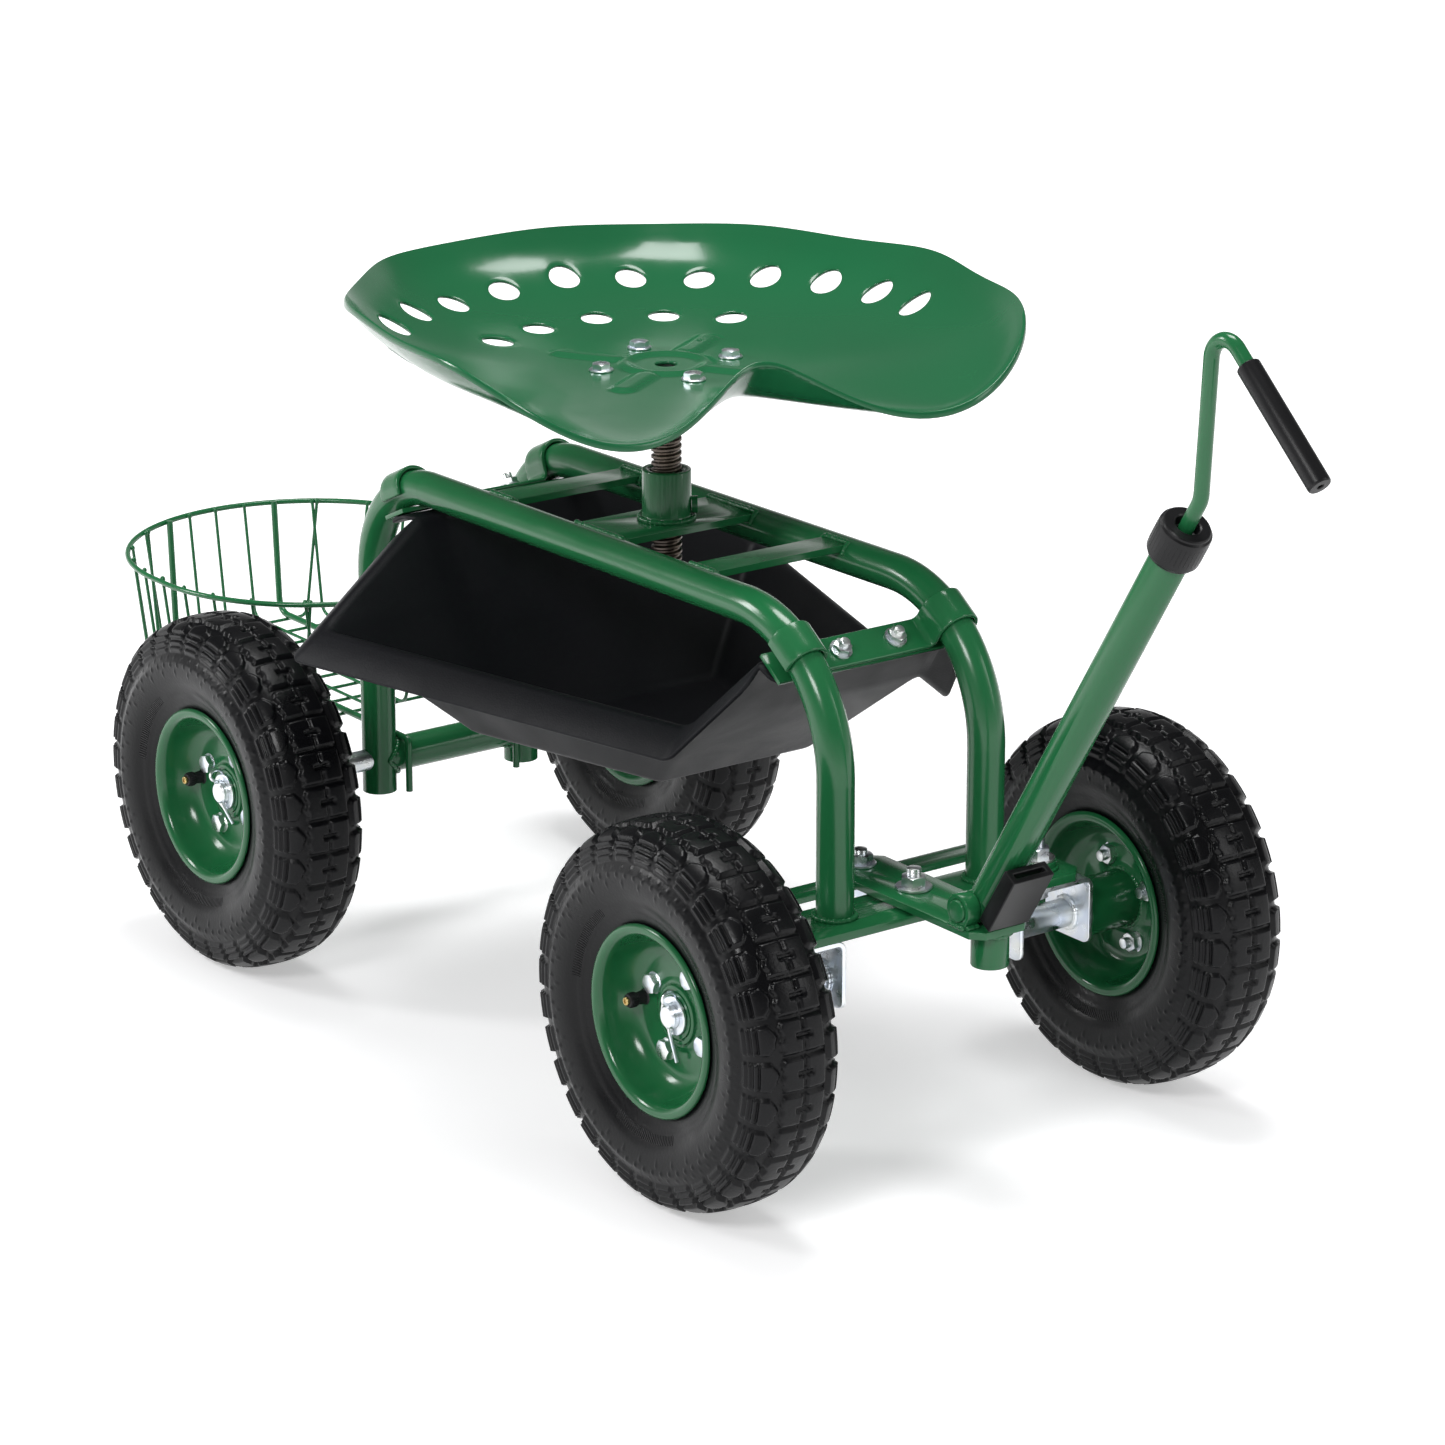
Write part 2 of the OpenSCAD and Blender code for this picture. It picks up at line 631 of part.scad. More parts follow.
module handle_collar() {
  color(dark_plastic) on_handle() difference() {
    union() {
      translate([0, 0, handle_len - 16]) cylinder(r = 17.5, h = 22);
      translate([0, 0, handle_len + 6]) cylinder(r1 = 17.5, r2 = 15.5, h = 3);
      translate([0, 0, handle_len - 19]) cylinder(r1 = 16, r2 = 17.5, h = 3);
    }
    translate([0, 0, handle_len - 30]) cylinder(r = tube_r + gap, h = 22 + gap);
    translate([0, 0, handle_len - 30]) cylinder(r = rod_r + gap, h = 60);
  }
}

function on_axis(s) = [pin_x, pin_z] + s * dir_a;
rod_top = on_axis(rod_bend) + [7.5, 118.7];
grip_dir = unit([97.3, -87.4]);
rod_end = rod_top + 127 * grip_dir;

module handle_rod() {
  color(green) place() {
    bent([on_axis(rod_in), on_axis(rod_bend), rod_top, rod_end], [0, 18, 14, 0], rod_d);
    seg(on_axis(rod_in - 2), on_axis(rod_in + 12), 2 * (tube_r - 2) - 0.1, 0);
  }
}

module handle_grip() {
  a = rod_top + 41 * grip_dir;
  b = rod_end + 3.5 * grip_dir;
  color(dark_plastic) place() difference() {
    seg(a, b, 15.4, 0);
    seg(a - grip_dir, rod_end + 0.1 * grip_dir, rod_d + 2 * gap, 0);
    seg(rod_end, b + grip_dir, 4, 0);
  }
}

// ---------------- seat ----------------
// rim of the seat as cosine series of the angle from its front: radius, and height above the middle
rim_radius = [222.5, -4.7, -6.2, -17.8, -16.6, -8.3, -6.2, 1.2, -1.8];
rim_height = [42, -12.6, -11.3, -3.2, 3.8, 5.9, 6.6, 4.7, 3.3];
function series(c, a, k = 0) = k == len(c) ? 0 : c[k] * cos(k * a) + series(c, a, k + 1);
flat_r = 55;
seat_steps = 48;
seat_rings = 7;
function seat_h(a, t) = series(rim_height, a) * (0.55 * pow(t, 2.2) + 0.45 * pow(t, 8));
function seat_point(a, j) = let (t = j / seat_rings, r = flat_r + (series(rim_radius, a) - flat_r) * t)
  j <= seat_rings ? [r * cos(a), r * sin(a), seat_h(a, t)]
  : [(series(rim_radius, a) + 1.5) * cos(a), (series(rim_radius, a) + 1.5) * sin(a), seat_h(a, 1) - 4.5];
seat_cols = seat_rings + 2;
seat_pts = [for (i = [0:seat_steps - 1], j = [0:seat_cols - 1]) seat_point(i * 360 / seat_steps, j)];
function ix(i, j, low) = (i % seat_steps) * seat_cols + j + (low ? seat_steps * seat_cols : 0);
seat_mid = 2 * seat_steps * seat_cols;
seat_faces = concat(
  [for (i = [0:seat_steps - 1], j = [0:seat_cols - 2]) each
    [[ix(i, j, false), ix(i, j + 1, false), ix(i + 1, j + 1, false)],
      [ix(i, j, false), ix(i + 1, j + 1, false), ix(i + 1, j, false)],
     [ix(i, j, true), ix(i + 1, j + 1, true), ix(i, j + 1, true)],
       [ix(i, j, true), ix(i + 1, j, true), ix(i + 1, j + 1, true)]]],
  [for (i = [0:seat_steps - 1]) each
    [[ix(i, seat_cols - 1, false), ix(i, seat_cols - 1, true), ix(i + 1, seat_cols - 1, true)],
     [ix(i, seat_cols - 1, false), ix(i + 1, seat_cols - 1, true), ix(i + 1, seat_cols - 1, false)],
     [seat_mid, ix(i, 0, false), ix(i + 1, 0, false)],
       [seat_mid + 1, ix(i + 1, 0, true), ix(i, 0, true)]]]);
seat_all = concat(seat_pts, [for (p = seat_pts) p - [0, 0, seat_t]], [[0, 0, 0], [0, 0, -seat_t]]);

module on_seat() { place() translate([post_x, 0, seat_height]) rotate([0, 0, -seat_turn]) children(); }
module seat_bolt_places() { for (k = [0:3]) rotate([0, 0, 90 * k]) translate([48, 0, 0]) children(); }

module punch(r, h) { hull() rotate([0, 0, 3.3]) cylinder(r = r, h = h, $fn = 20); }

module seat_pan() {
  color(green) on_seat() difference() {
    polyhedron(seat_all, [for (f = seat_faces) [f[0], f[2], f[1]]]);
    for (k = [-6:6]) rotate([0, 0, 180 + 15 * k]) translate([188, 0, -20]) punch(seat_hole_d / 2, 100);
    for (k = [-2:2]) rotate([0, 0, 180 + 22 * k]) translate([127, 0, -20]) punch(seat_hole_d / 2, 60);
    seat_bolt_places() translate([0, 0, -10]) punch(4.2, 20);
    translate([0, 0, -10]) punch(8, 20);
  }
}

module seat_bracket() {
  h = 26;
  color(dark_plastic) on_seat() difference() {
    union() {
      translate([0, 0, -seat_t - gap - 4]) linear_extrude(4) union() {
        square([118, 34], center = true);
        square([34, 118], center = true);
        circle(r = 32);
      }
      translate([0, 0, -seat_t - gap - h]) cylinder(r = 15, h = h - 1);
    }
    translate([0, 0, -seat_t - gap - h - 1]) cylinder(r = screw_r + gap, h = h - 4);
    seat_bolt_places() translate([0, 0, -20]) cylinder(r = 4.2, h = 30);
  }
}

module seat_bolts() {
  color(zinc) on_seat() seat_bolt_places() {
    translate([0, 0, -14]) cylinder(r = 4, h = 15);
    translate([0, 0, gap]) cylinder(r = 8.5, h = 1.4);
    translate([0, 0, 1.4]) hex(6.8, 4.6);
    translate([0, 0, -seat_t - 4 - 2 * gap - 6]) hex(6.8, 6);
  }
}

module seat_screw() {
  top = seat_height - seat_t - 6.5;
  n = floor((top - screw_bottom - 22) / screw_pitch);
  root = screw_r - 1.3;
  color(zinc * 0.5) place() translate([post_x, 0, screw_bottom]) rotate_extrude()
    polygon(concat([[0, 0], [root, 0]],
      [for (i = [0:n - 1]) each [[root, (i + 0.3) * screw_pitch], [screw_r, (i + 0.5) * screw_pitch],
        [screw_r, (i + 0.75) * screw_pitch], [root, (i + 0.95) * screw_pitch]]],
      [[root, top - screw_bottom - 22], [screw_r, top - screw_bottom - 20],
        [screw_r, top - screw_bottom], [0, top - screw_bottom]]));
}

// ---------------- basket ----------------
module basket_rim() {
  translate([basket_x, 0, basket_rim_z]) for (s = [-1, 1]) {
    translate([s * rim_half_straight, 0, 0]) rotate([0, 0, s > 0 ? -90 : 90])
      rotate_extrude(angle = 180, $fn = 96) translate([basket_r, 0]) circle(d = rim_wire + swell);
    translate([-rim_half_straight - lap, s * basket_r, 0]) rotate([0, 90, 0])
      cylinder(d = rim_wire, h = 2 * (rim_half_straight + lap));
  }
}

// half length along X at a given y, and along Y at a given x, of the outline a distance e inside the rim
function rim_x(y, e) = rim_half_straight + sqrt(pow(basket_r - e, 2) - pow(y, 2));
function rim_y(x, e) = sqrt(pow(basket_r - e, 2) - pow(max(abs(x) - rim_half_straight, 0), 2));

module basket_frame() {
  hook_x = leg_rear_x + tube_r + thick_wire / 2 + 1.2;
  back = rim_x(hook_y, rim_wire / 2 + thick_wire / 2 + gap);
  color(green) place() {
    basket_rim();
    for (s = [-1, 1]) translate([0, s * hook_y, 0])
      bent([[hook_x, leg_rear_foot], [hook_x, floor_wire_z],
        [basket_x - back + 5, floor_wire_z], [basket_x - back, basket_rim_z + 2]], [0, 4, 12, 0],
          thick_wire);
  }
}

module basket_wires() {
  e = rim_wire / 2 + thin_wire / 2 + 0.05;
  color(green) place() {
    for (y = [-3, -1, 0, 1, 3]) let (half = rim_x(y * wire_pitch_y, e), low = half - basket_taper)
      translate([basket_x, y * wire_pitch_y, 0])
        bent([[-half, basket_rim_z + 1], [-low, thin_x_z], [low, thin_x_z], [half, basket_rim_z + 1]],
          [0, 10, 10, 0], thin_wire);
    for (x = [-4:4]) let (half = rim_y(x * wire_pitch_x, e), low = half - basket_taper)
      translate([basket_x + x * wire_pitch_x, 0, 0]) rotate([0, 0, 90])
        bent([[-half, basket_rim_z + 1], [-low, thin_y_z], [low, thin_y_z], [half, basket_rim_z + 1]],
          [0, 8, 8, 0], thin_wire);
  }
}

frame_tube(-1);  // frame_tube_right
frame_tube(1);  // frame_tube_left
seat_plate();
seat_collar();
collar_ring();
cross_bars();
clamp_straps();
clamp_plates();
clamp_bolts();
tray();
rear_cross_tube();
rear_axle();
rear_retainers();
front_beam();
kingpins();
pivot_bolt();
tyre(-1, front_x);  // fr_tyre
rim(-1, front_x);  // fr_rim
hub(-1, front_x);  // fr_hub
rim_bolts(-1, front_x);  // fr_rim_bolts
valve(-1, front_x);  // fr_valve
tyre(1, front_x);  // fl_tyre
rim(1, front_x);  // fl_rim
hub(1, front_x);  // fl_hub
rim_bolts(1, front_x);  // fl_rim_bolts
valve(1, front_x);  // fl_valve
tyre(-1, leg_rear_x);  // rr_tyre
rim(-1, leg_rear_x);  // rr_rim
hub(-1, leg_rear_x);  // rr_hub
rim_bolts(-1, leg_rear_x);  // rr_rim_bolts
valve(-1, leg_rear_x);  // rr_valve
tyre(1, leg_rear_x);  // rl_tyre
rim(1, leg_rear_x);  // rl_rim
hub(1, leg_rear_x);  // rl_hub
rim_bolts(1, leg_rear_x);  // rl_rim_bolts
valve(1, leg_rear_x);  // rl_valve
steer_plate();
pivot_boss();
hitch_socket();
stop_block();
tie_bolt();
tie_bar();
tie_end_bolts();
knuckle(-1);  // knuckle_right
spindle(-1);  // spindle_right
retainers(-1);  // retainers_right
knuckle(1);  // knuckle_left
spindle(1);  // spindle_left
retainers(1);  // retainers_left
handle_tube();
handle_pin();
handle_collar();
handle_rod();
handle_grip();
seat_pan();
seat_bracket();
seat_bolts();
seat_screw();
basket_frame();
basket_wires();
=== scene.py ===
import json
import math
import random

import bmesh
import bpy
import numpy as np
from bpy.props import FloatProperty, FloatVectorProperty, IntProperty, PointerProperty
from mathutils import Matrix, Vector, geometry


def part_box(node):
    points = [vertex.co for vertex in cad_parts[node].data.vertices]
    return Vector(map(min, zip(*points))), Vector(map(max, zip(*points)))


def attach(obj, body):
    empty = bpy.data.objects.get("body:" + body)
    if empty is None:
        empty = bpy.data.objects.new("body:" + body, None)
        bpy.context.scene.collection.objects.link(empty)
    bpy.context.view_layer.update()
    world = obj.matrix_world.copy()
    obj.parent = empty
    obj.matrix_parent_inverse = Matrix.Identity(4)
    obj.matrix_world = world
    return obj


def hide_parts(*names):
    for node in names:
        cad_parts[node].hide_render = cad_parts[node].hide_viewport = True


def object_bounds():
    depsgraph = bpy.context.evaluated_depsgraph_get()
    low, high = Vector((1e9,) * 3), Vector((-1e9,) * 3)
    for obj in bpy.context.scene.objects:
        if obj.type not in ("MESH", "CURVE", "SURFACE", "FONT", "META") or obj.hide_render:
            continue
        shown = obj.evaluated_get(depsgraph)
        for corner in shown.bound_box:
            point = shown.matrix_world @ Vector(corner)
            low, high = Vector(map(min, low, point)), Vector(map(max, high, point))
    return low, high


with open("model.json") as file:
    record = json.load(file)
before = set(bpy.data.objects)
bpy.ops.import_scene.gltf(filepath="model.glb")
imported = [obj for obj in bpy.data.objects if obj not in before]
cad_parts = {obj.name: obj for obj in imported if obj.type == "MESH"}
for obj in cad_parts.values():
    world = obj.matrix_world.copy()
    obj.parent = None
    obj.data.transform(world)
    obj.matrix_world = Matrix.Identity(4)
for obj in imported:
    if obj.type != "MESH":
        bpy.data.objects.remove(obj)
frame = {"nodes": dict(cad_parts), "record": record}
CAD_BOX = [list(corner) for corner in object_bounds()]
BODY_OF = {n: body for body, members in frame["record"]["behaviour"]["bodies"].items() for n in members}

bl_info = {
    "name": "Garden Cart",
    "version": (1, 0, 0),
    "blender": (4, 5, 0),
    "location": "View3D > Sidebar > Garden Cart",
    "description": "Dresses the rolling garden cart: enamel, rubber, plastic, plated bolts and welds",
    "category": "Object",
}


# ---------------------------------------------------------------- places on the cart
def middle(node):
    low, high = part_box(node)
    return (low + high) / 2


FRONT_WHEEL = middle("fr_tyre")
WHEEL_Z = FRONT_WHEEL.z
TRACK_HALF = abs(FRONT_WHEEL.y)
FRONT_X = FRONT_WHEEL.x
TUBE_LOW, TUBE_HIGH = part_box("frame_tube_right")
TUBE_R = 0.0127
GAUGE_HALF = abs((TUBE_LOW.y + TUBE_HIGH.y) / 2)
LEG_REAR_X = TUBE_LOW.x + TUBE_R
LEG_FRONT_X = TUBE_HIGH.x - TUBE_R
POST = middle("seat_screw")
POST_X = POST.x
REAR_BEND, FRONT_BEND = 0.078, 0.098
ARCH_REAR_Z, ARCH_RISE = 0.352, 0.0172566
BEAM_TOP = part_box("hitch_socket")[1].z - 0.00245
PLATE_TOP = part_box("pivot_boss")[0].z - 0.00005
PIN = middle("handle_pin")
TIE_X = middle("tie_bolt").x
HANDLE_ANGLE = math.radians(58)
KING_Y = 0.105
AXLE_OUT = 0.015
CROSS_BAR_AT = 0.119
CHEEK_Y = 0.0185
STRAP_BOLT_AT = 0.0228
TYRE_RADIUS = 130
SIDES = (-1, 1)
WHEELS = {
    "fr": ("wheel_front_right", FRONT_X, -1),
    "fl": ("wheel_front_left", FRONT_X, 1),
    "rr": ("wheel_rear_right", LEG_REAR_X, -1),
    "rl": ("wheel_rear_left", LEG_REAR_X, 1),
}


def arch_z(x):
    """Height of the frame tube's centreline along the arch."""
    return ARCH_REAR_Z + (x - LEG_REAR_X - REAR_BEND) * ARCH_RISE


# ---------------------------------------------------------------- sizes and finishes a user may change
def length_property(name, description, default, low, high):
    return FloatProperty(name=name, description=description, default=default, min=low, max=high,
                         unit="LENGTH")


def colour_property(name, description, default):
    return FloatVectorProperty(name=name, description=description, default=default, subtype="COLOR", size=3,
                               min=0, max=1)


class GardenCartSizes(bpy.types.PropertyGroup):
    tread_depth: length_property("Tread depth", "Depth of the gaps between tyre blocks", 0.0031, 0.001, 0.006)
    tread_pitches: IntProperty(name="Tread pitches", description="Rows of tyre blocks round one tyre",
                               default=32, min=20, max=44)
    weld_radius: length_property("Weld bead radius", "Radius of the weld beads on the frame",
                                 0.0021, 0.001, 0.004)
    emboss_height: length_property("Seat embossing", "Height of the pressed ring and ribs of the seat",
                                   0.0022, 0.0, 0.004)
    thread_pitch: length_property("Thread pitch", "Pitch of the seat post's thread", 0.005, 0.003, 0.006)
    fold_radius: length_property("Tray fold radius", "Radius of the folds of the plastic tray",
                                 0.006, 0.002, 0.01)


class GardenCartFinishes(bpy.types.PropertyGroup):
    seat_green: colour_property("Seat enamel", "Colour of the enamelled seat", (0.0120, 0.1300, 0.0480))
    frame_green: colour_property("Frame enamel", "Colour of the enamelled frame", (0.0150, 0.1450, 0.0490))
    wheel_green: colour_property("Wheel enamel", "Colour of the enamelled rims", (0.0120, 0.1200, 0.0400))
    rubber: colour_property("Tyre rubber", "Colour of the tyres", (0.0036, 0.0037, 0.0045))
    tray: colour_property("Tray plastic", "Colour of the tray", (0.0070, 0.0073, 0.0095))
    zinc: colour_property("Zinc plating", "Colour of the plated bolts and brackets", (0.86, 0.88, 0.90))
    steel: colour_property("Oiled steel", "Colour of the threaded seat post", (0.115, 0.092, 0.075))


def sizes():
    return bpy.context.scene.garden_cart_sizes


def finishes():
    return bpy.context.scene.garden_cart_finishes


# ---------------------------------------------------------------- node building
GROUPS = {}
MATERIALS = {}


class Nodes:
    """Adds nodes to one tree, taking socket values and links by socket name."""

    def __init__(self, tree):
        self.tree = tree
        tree.nodes.clear()

    def feed(self, node, sockets):
        for key, value in sockets.items():
            if isinstance(value, bpy.types.NodeSocket):
                self.tree.links.new(value, node.inputs[key])
            else:
                node.inputs[key].default_value = value

    def add(self, kind, sockets=None, **settings):
        node = self.tree.nodes.new(kind)
        for key, value in settings.items():
            setattr(node, key, value)
        self.feed(node, sockets or {})
        return node

    def bump(self, height, strength, distance, **sockets):
        return self.add("ShaderNodeBump", {"Height": height, "Strength": strength, "Distance": distance,
                                           **sockets}).outputs[0]

    def math(self, operation, *values):
        return self.add("ShaderNodeMath", dict(enumerate(values)), operation=operation).outputs[0]

    def spread(self, value, from_low, from_high, to_low, to_high):
        return self.add("ShaderNodeMapRange", {"Value": value, "From Min": from_low, "From Max": from_high,
                                               "To Min": to_low, "To Max": to_high}).outputs["Result"]

    def place(self):
        return self.add("ShaderNodeTexCoord").outputs["Object"]

    def noise(self, scale, detail, distortion=0.0):
        return self.add("ShaderNodeTexNoise", {"Vector": self.place(), "Scale": scale, "Detail": detail,
                                               "Distortion": distortion}).outputs["Fac"]

    def group(self, name, **sockets):
        return self.add("ShaderNodeGroup", sockets, node_tree=GROUPS[name]).outputs[0]

    def blend(self, factor, first, second):
        """A mix of two colours; 6, 7 and 2 are the colour sockets of the mix node."""
        node = self.add("ShaderNodeMix", {"Factor": factor, 6: first, 7: second}, data_type="RGBA")
        return node.outputs[2]


def new_group(name, inputs, output, make):
    """A node group kept in GROUPS; make gives the socket that feeds its one output."""
    tree = bpy.data.node_groups.new(name, "ShaderNodeTree")
    build = Nodes(tree)
    for label, value in inputs.items():
        kind = "NodeSocketFloat" if isinstance(value, float) else "NodeSocketColor"
        tree.interface.new_socket(name=label, in_out="INPUT", socket_type=kind).default_value = value
    label, kind = output
    tree.interface.new_socket(name=label, in_out="OUTPUT", socket_type=kind)
    result = make(build, build.add("NodeGroupInput").outputs)
    build.add("NodeGroupOutput", {label: result})
    GROUPS[name] = tree


def tone_drift(build, given):
    """Slow change of a colour over the surface."""
    centred = build.math("SUBTRACT", build.noise(given["Scale"], 4.0), 0.5)
    factor = build.math("MULTIPLY_ADD", centred, build.math("MULTIPLY", given["Amount"], 4.0), 1.0)
    scaled = build.add("ShaderNodeVectorMath", {0: given["Color"], "Scale": factor}, operation="SCALE")
    return scaled.outputs[0]


def gloss_drift(build, given):
    """Handled and dusty patches: a roughness that wanders between two values."""
    return build.spread(build.noise(given["Scale"], 6.0, 0.6), 0.3, 0.7, given["Low"], given["High"])


def fine_grain(build, given):
    """Height of a fine grain, such as orange peel in enamel or the leather grain of moulded plastic."""
    fine = build.noise(given["Scale"], 3.0)
    wide = build.noise(build.math("MULTIPLY", given["Scale"], 0.12), 2.0)
    return build.math("MULTIPLY_ADD", wide, given["Coarse"], fine)


def colour4(colour):
    return (*colour[:3], 1.0)


def start_material(name, sockets):
    material = bpy.data.materials.new(name)
    material.use_nodes = True
    build = Nodes(material.node_tree)
    shader = build.add("ShaderNodeBsdfPrincipled", sockets)
    build.add("ShaderNodeOutputMaterial", {"Surface": shader.outputs[0]})
    return material, build, shader


def dress(build, shader, colour, rough, grain, tone_scale=9.0, tone=0.05, gloss_scale=14.0):
    """Puts drifting colour, drifting gloss and a fine grain on a shader; gives the colour and the bump."""
    drift = build.group("Tone drift", Color=colour4(colour), Scale=tone_scale, Amount=tone)
    gloss = build.group("Gloss drift", Low=rough[0], High=rough[1], Scale=gloss_scale)
    scale, coarse, strength, distance = grain
    bump = build.bump(build.group("Fine grain", Scale=scale, Coarse=coarse), strength, distance)
    build.feed(shader, {"Base Color": drift, "Roughness": gloss, "Normal": bump})
    return drift, bump


def enamel(name, colour, peel=0.10, rough=(0.16, 0.26)):
    material, build, shader = start_material(
        name, {"Coat Weight": 0.12, "Coat Roughness": 0.06, "Specular IOR Level": 0.42})
    dress(build, shader, colour, rough, (260.0, 0.8, peel, 0.0004), tone_scale=6.0)
    return material


def plating(name, colour, rough=(0.22, 0.42), streak=0.08):
    """Bright zinc: metal with fine scuffs and slightly bluish and yellowish patches."""
    material, build, shader = start_material(name, {"Metallic": 1.0})
    warm, cool = (colour4([c * k for c, k in zip(colour, tint)])
                  for tint in ((1.0, 1.0, 0.96), (0.90, 0.94, 1.02)))
    patches = build.spread(build.noise(60.0, 3.0), 0.35, 0.65, 0.0, 1.0)
    dress(build, shader, colour, rough, (500.0, 0.6, streak, 0.0003), gloss_scale=90.0)
    build.feed(shader, {"Base Color": build.blend(patches, warm, cool)})
    return material


def plastic(name, colour, rough, grain, shine, tone_scale, tone):
    material, build, shader = start_material(name, {"Specular IOR Level": shine})
    dress(build, shader, colour, rough, grain, tone_scale, tone)
    return material


def satin_plastic(name, colour, rough=(0.30, 0.42)):
    return plastic(name, colour, rough, (700.0, 0.4, 0.12, 0.0004), 0.28, 20.0, 0.08)


TICK_RING, TICK_HALF_WIDTH = 0.0775, 0.0030


def tyre_rubber(name, colour):
    """Rubber lighter on its sharp block edges, partly a worn, dusty bloom and partly a painted highlight,
    with fine radial ticks beside the rim.
    """
    material, build, shader = start_material(name, {"Specular IOR Level": 0.22})
    base, bump = dress(build, shader, colour, (0.24, 0.40), (420.0, 1.2, 0.22, 0.0006), 14.0, 0.16, 26.0)
    split = build.add("ShaderNodeSeparateXYZ", {"Vector": build.place()})
    across, along = split.outputs["X"], split.outputs["Y"]
    square = build.math("ADD", build.math("MULTIPLY", across, across), build.math("MULTIPLY", along, along))
    from_ring = build.math("ABSOLUTE", build.math("SUBTRACT", build.math("SQRT", square), TICK_RING))
    turn = build.math("ARCTAN2", along, across)
    ticks = build.math("SINE", build.math("MULTIPLY", turn, 260.0))
    arcs = build.math("GREATER_THAN", build.math("SINE", build.math("MULTIPLY", turn, 3.0)), 0.35)
    ring = build.math("LESS_THAN", from_ring, TICK_HALF_WIDTH)
    ticked = build.math("MULTIPLY", build.math("MULTIPLY", ticks, ring), arcs)
    second = build.bump(ticked, 0.5, 0.0008, Normal=bump)
    # sharp block edges, found by pointiness, are lightened: partly wear and dust, partly a painted highlight
    edges = build.add("ShaderNodeNewGeometry").outputs["Pointiness"]
    edge_wear_and_highlight = build.spread(edges, 0.51, 0.60, 0.0, 0.45)
    dust_and_highlight = build.blend(edge_wear_and_highlight, base, colour4([c * 2.2 for c in colour]))
    build.feed(shader, {"Normal": second, "Base Color": dust_and_highlight})
    return material


def make_materials():
    new_group("Tone drift", {"Color": (0.5, 0.5, 0.5, 1), "Scale": 8.0, "Amount": 0.1},
              ("Color", "NodeSocketColor"), tone_drift)
    new_group("Gloss drift", {"Low": 0.2, "High": 0.35, "Scale": 12.0},
              ("Roughness", "NodeSocketFloat"), gloss_drift)
    new_group("Fine grain", {"Scale": 400.0, "Coarse": 0.3},
              ("Height", "NodeSocketFloat"), fine_grain)
    look = finishes()
    MATERIALS.update({
        "seat_green": enamel("seat_enamel", look.seat_green, peel=0.05, rough=(0.14, 0.22)),
        "frame_green": enamel("frame_enamel", look.frame_green),
        "wheel_green": enamel("wheel_enamel", look.wheel_green, peel=0.08, rough=(0.15, 0.24)),
        "zinc": plating("zinc_plating", look.zinc),
        "tray_plastic": plastic("tray_moulding", look.tray, (0.42, 0.56), (900.0, 0.5, 0.30, 0.0005),
                                0.17, 5.0, 0.10),
        "black_plastic": satin_plastic("black_moulding", (0.0085, 0.0085, 0.0095)),
        "tyre": tyre_rubber("tyre_rubber", look.rubber),
        "valve_rubber": satin_plastic("valve_rubber", (0.011, 0.011, 0.012), rough=(0.35, 0.5)),
        "screw_steel": plating("oiled_steel", look.steel, rough=(0.30, 0.48), streak=0.25),
        "black_paint": enamel("black_paint", (0.006, 0.006, 0.007), rough=(0.22, 0.34)),
        "brass": plating("valve_brass", (0.55, 0.40, 0.17)),
    })


def mesh_piece(name, mesh, material, body, replaces=(), matrix=None):
    """An object for one mesh, riding on a body of the cart, in the slot of its material."""
    obj = bpy.data.objects.new(name, mesh)
    bpy.context.scene.collection.objects.link(obj)
    if not mesh.materials:
        mesh.materials.append(MATERIALS[material])
    if matrix is not None:
        obj.matrix_world = matrix
    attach(obj, body)
    if replaces:
        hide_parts(*replaces)
    return obj


def thicken(obj, thickness, offset):
    wall = obj.modifiers.new("wall", "SOLIDIFY")
    wall.thickness, wall.offset = thickness, offset
    return wall


def round_edges(obj, width, segments, angle=30, harden=False):
    edge = obj.modifiers.new("edge", "BEVEL")
    edge.width, edge.segments, edge.limit_method = width, segments, "ANGLE"
    edge.angle_limit, edge.harden_normals = math.radians(angle), harden


def repaint(node, material):
    """The CAD part keeps its own mesh and takes one of the materials."""
    mesh = frame["nodes"][node].data
    mesh.materials.clear()
    mesh.materials.append(MATERIALS[material])


def spin(degrees, axis="Z"):
    return Matrix.Rotation(math.radians(degrees), 4, axis)


def shift(x, y, z):
    return Matrix.Translation((x, y, z))


def spot_at(x, y, z=0.0, turn=0.0):
    return shift(x, y, z) @ Matrix.Rotation(turn, 4, "Z")


def turns(count):
    return [2 * math.pi * k / count for k in range(count)]


def circle(radius, z, count):
    return [(radius * math.cos(t), radius * math.sin(t), z) for t in turns(count)]


# radius of the points of a lathe profile that lie on the axis
AXIS = 0.0001


def from_mm(*points):
    return [(r / 1000, z / 1000) for r, z in points]


def plate(inner, outer, low, high):
    """Square-edged section of a washer."""
    return [(inner, low), (outer, low), (outer, high), (inner, high)]


WELD_RIPPLE = 0.0034


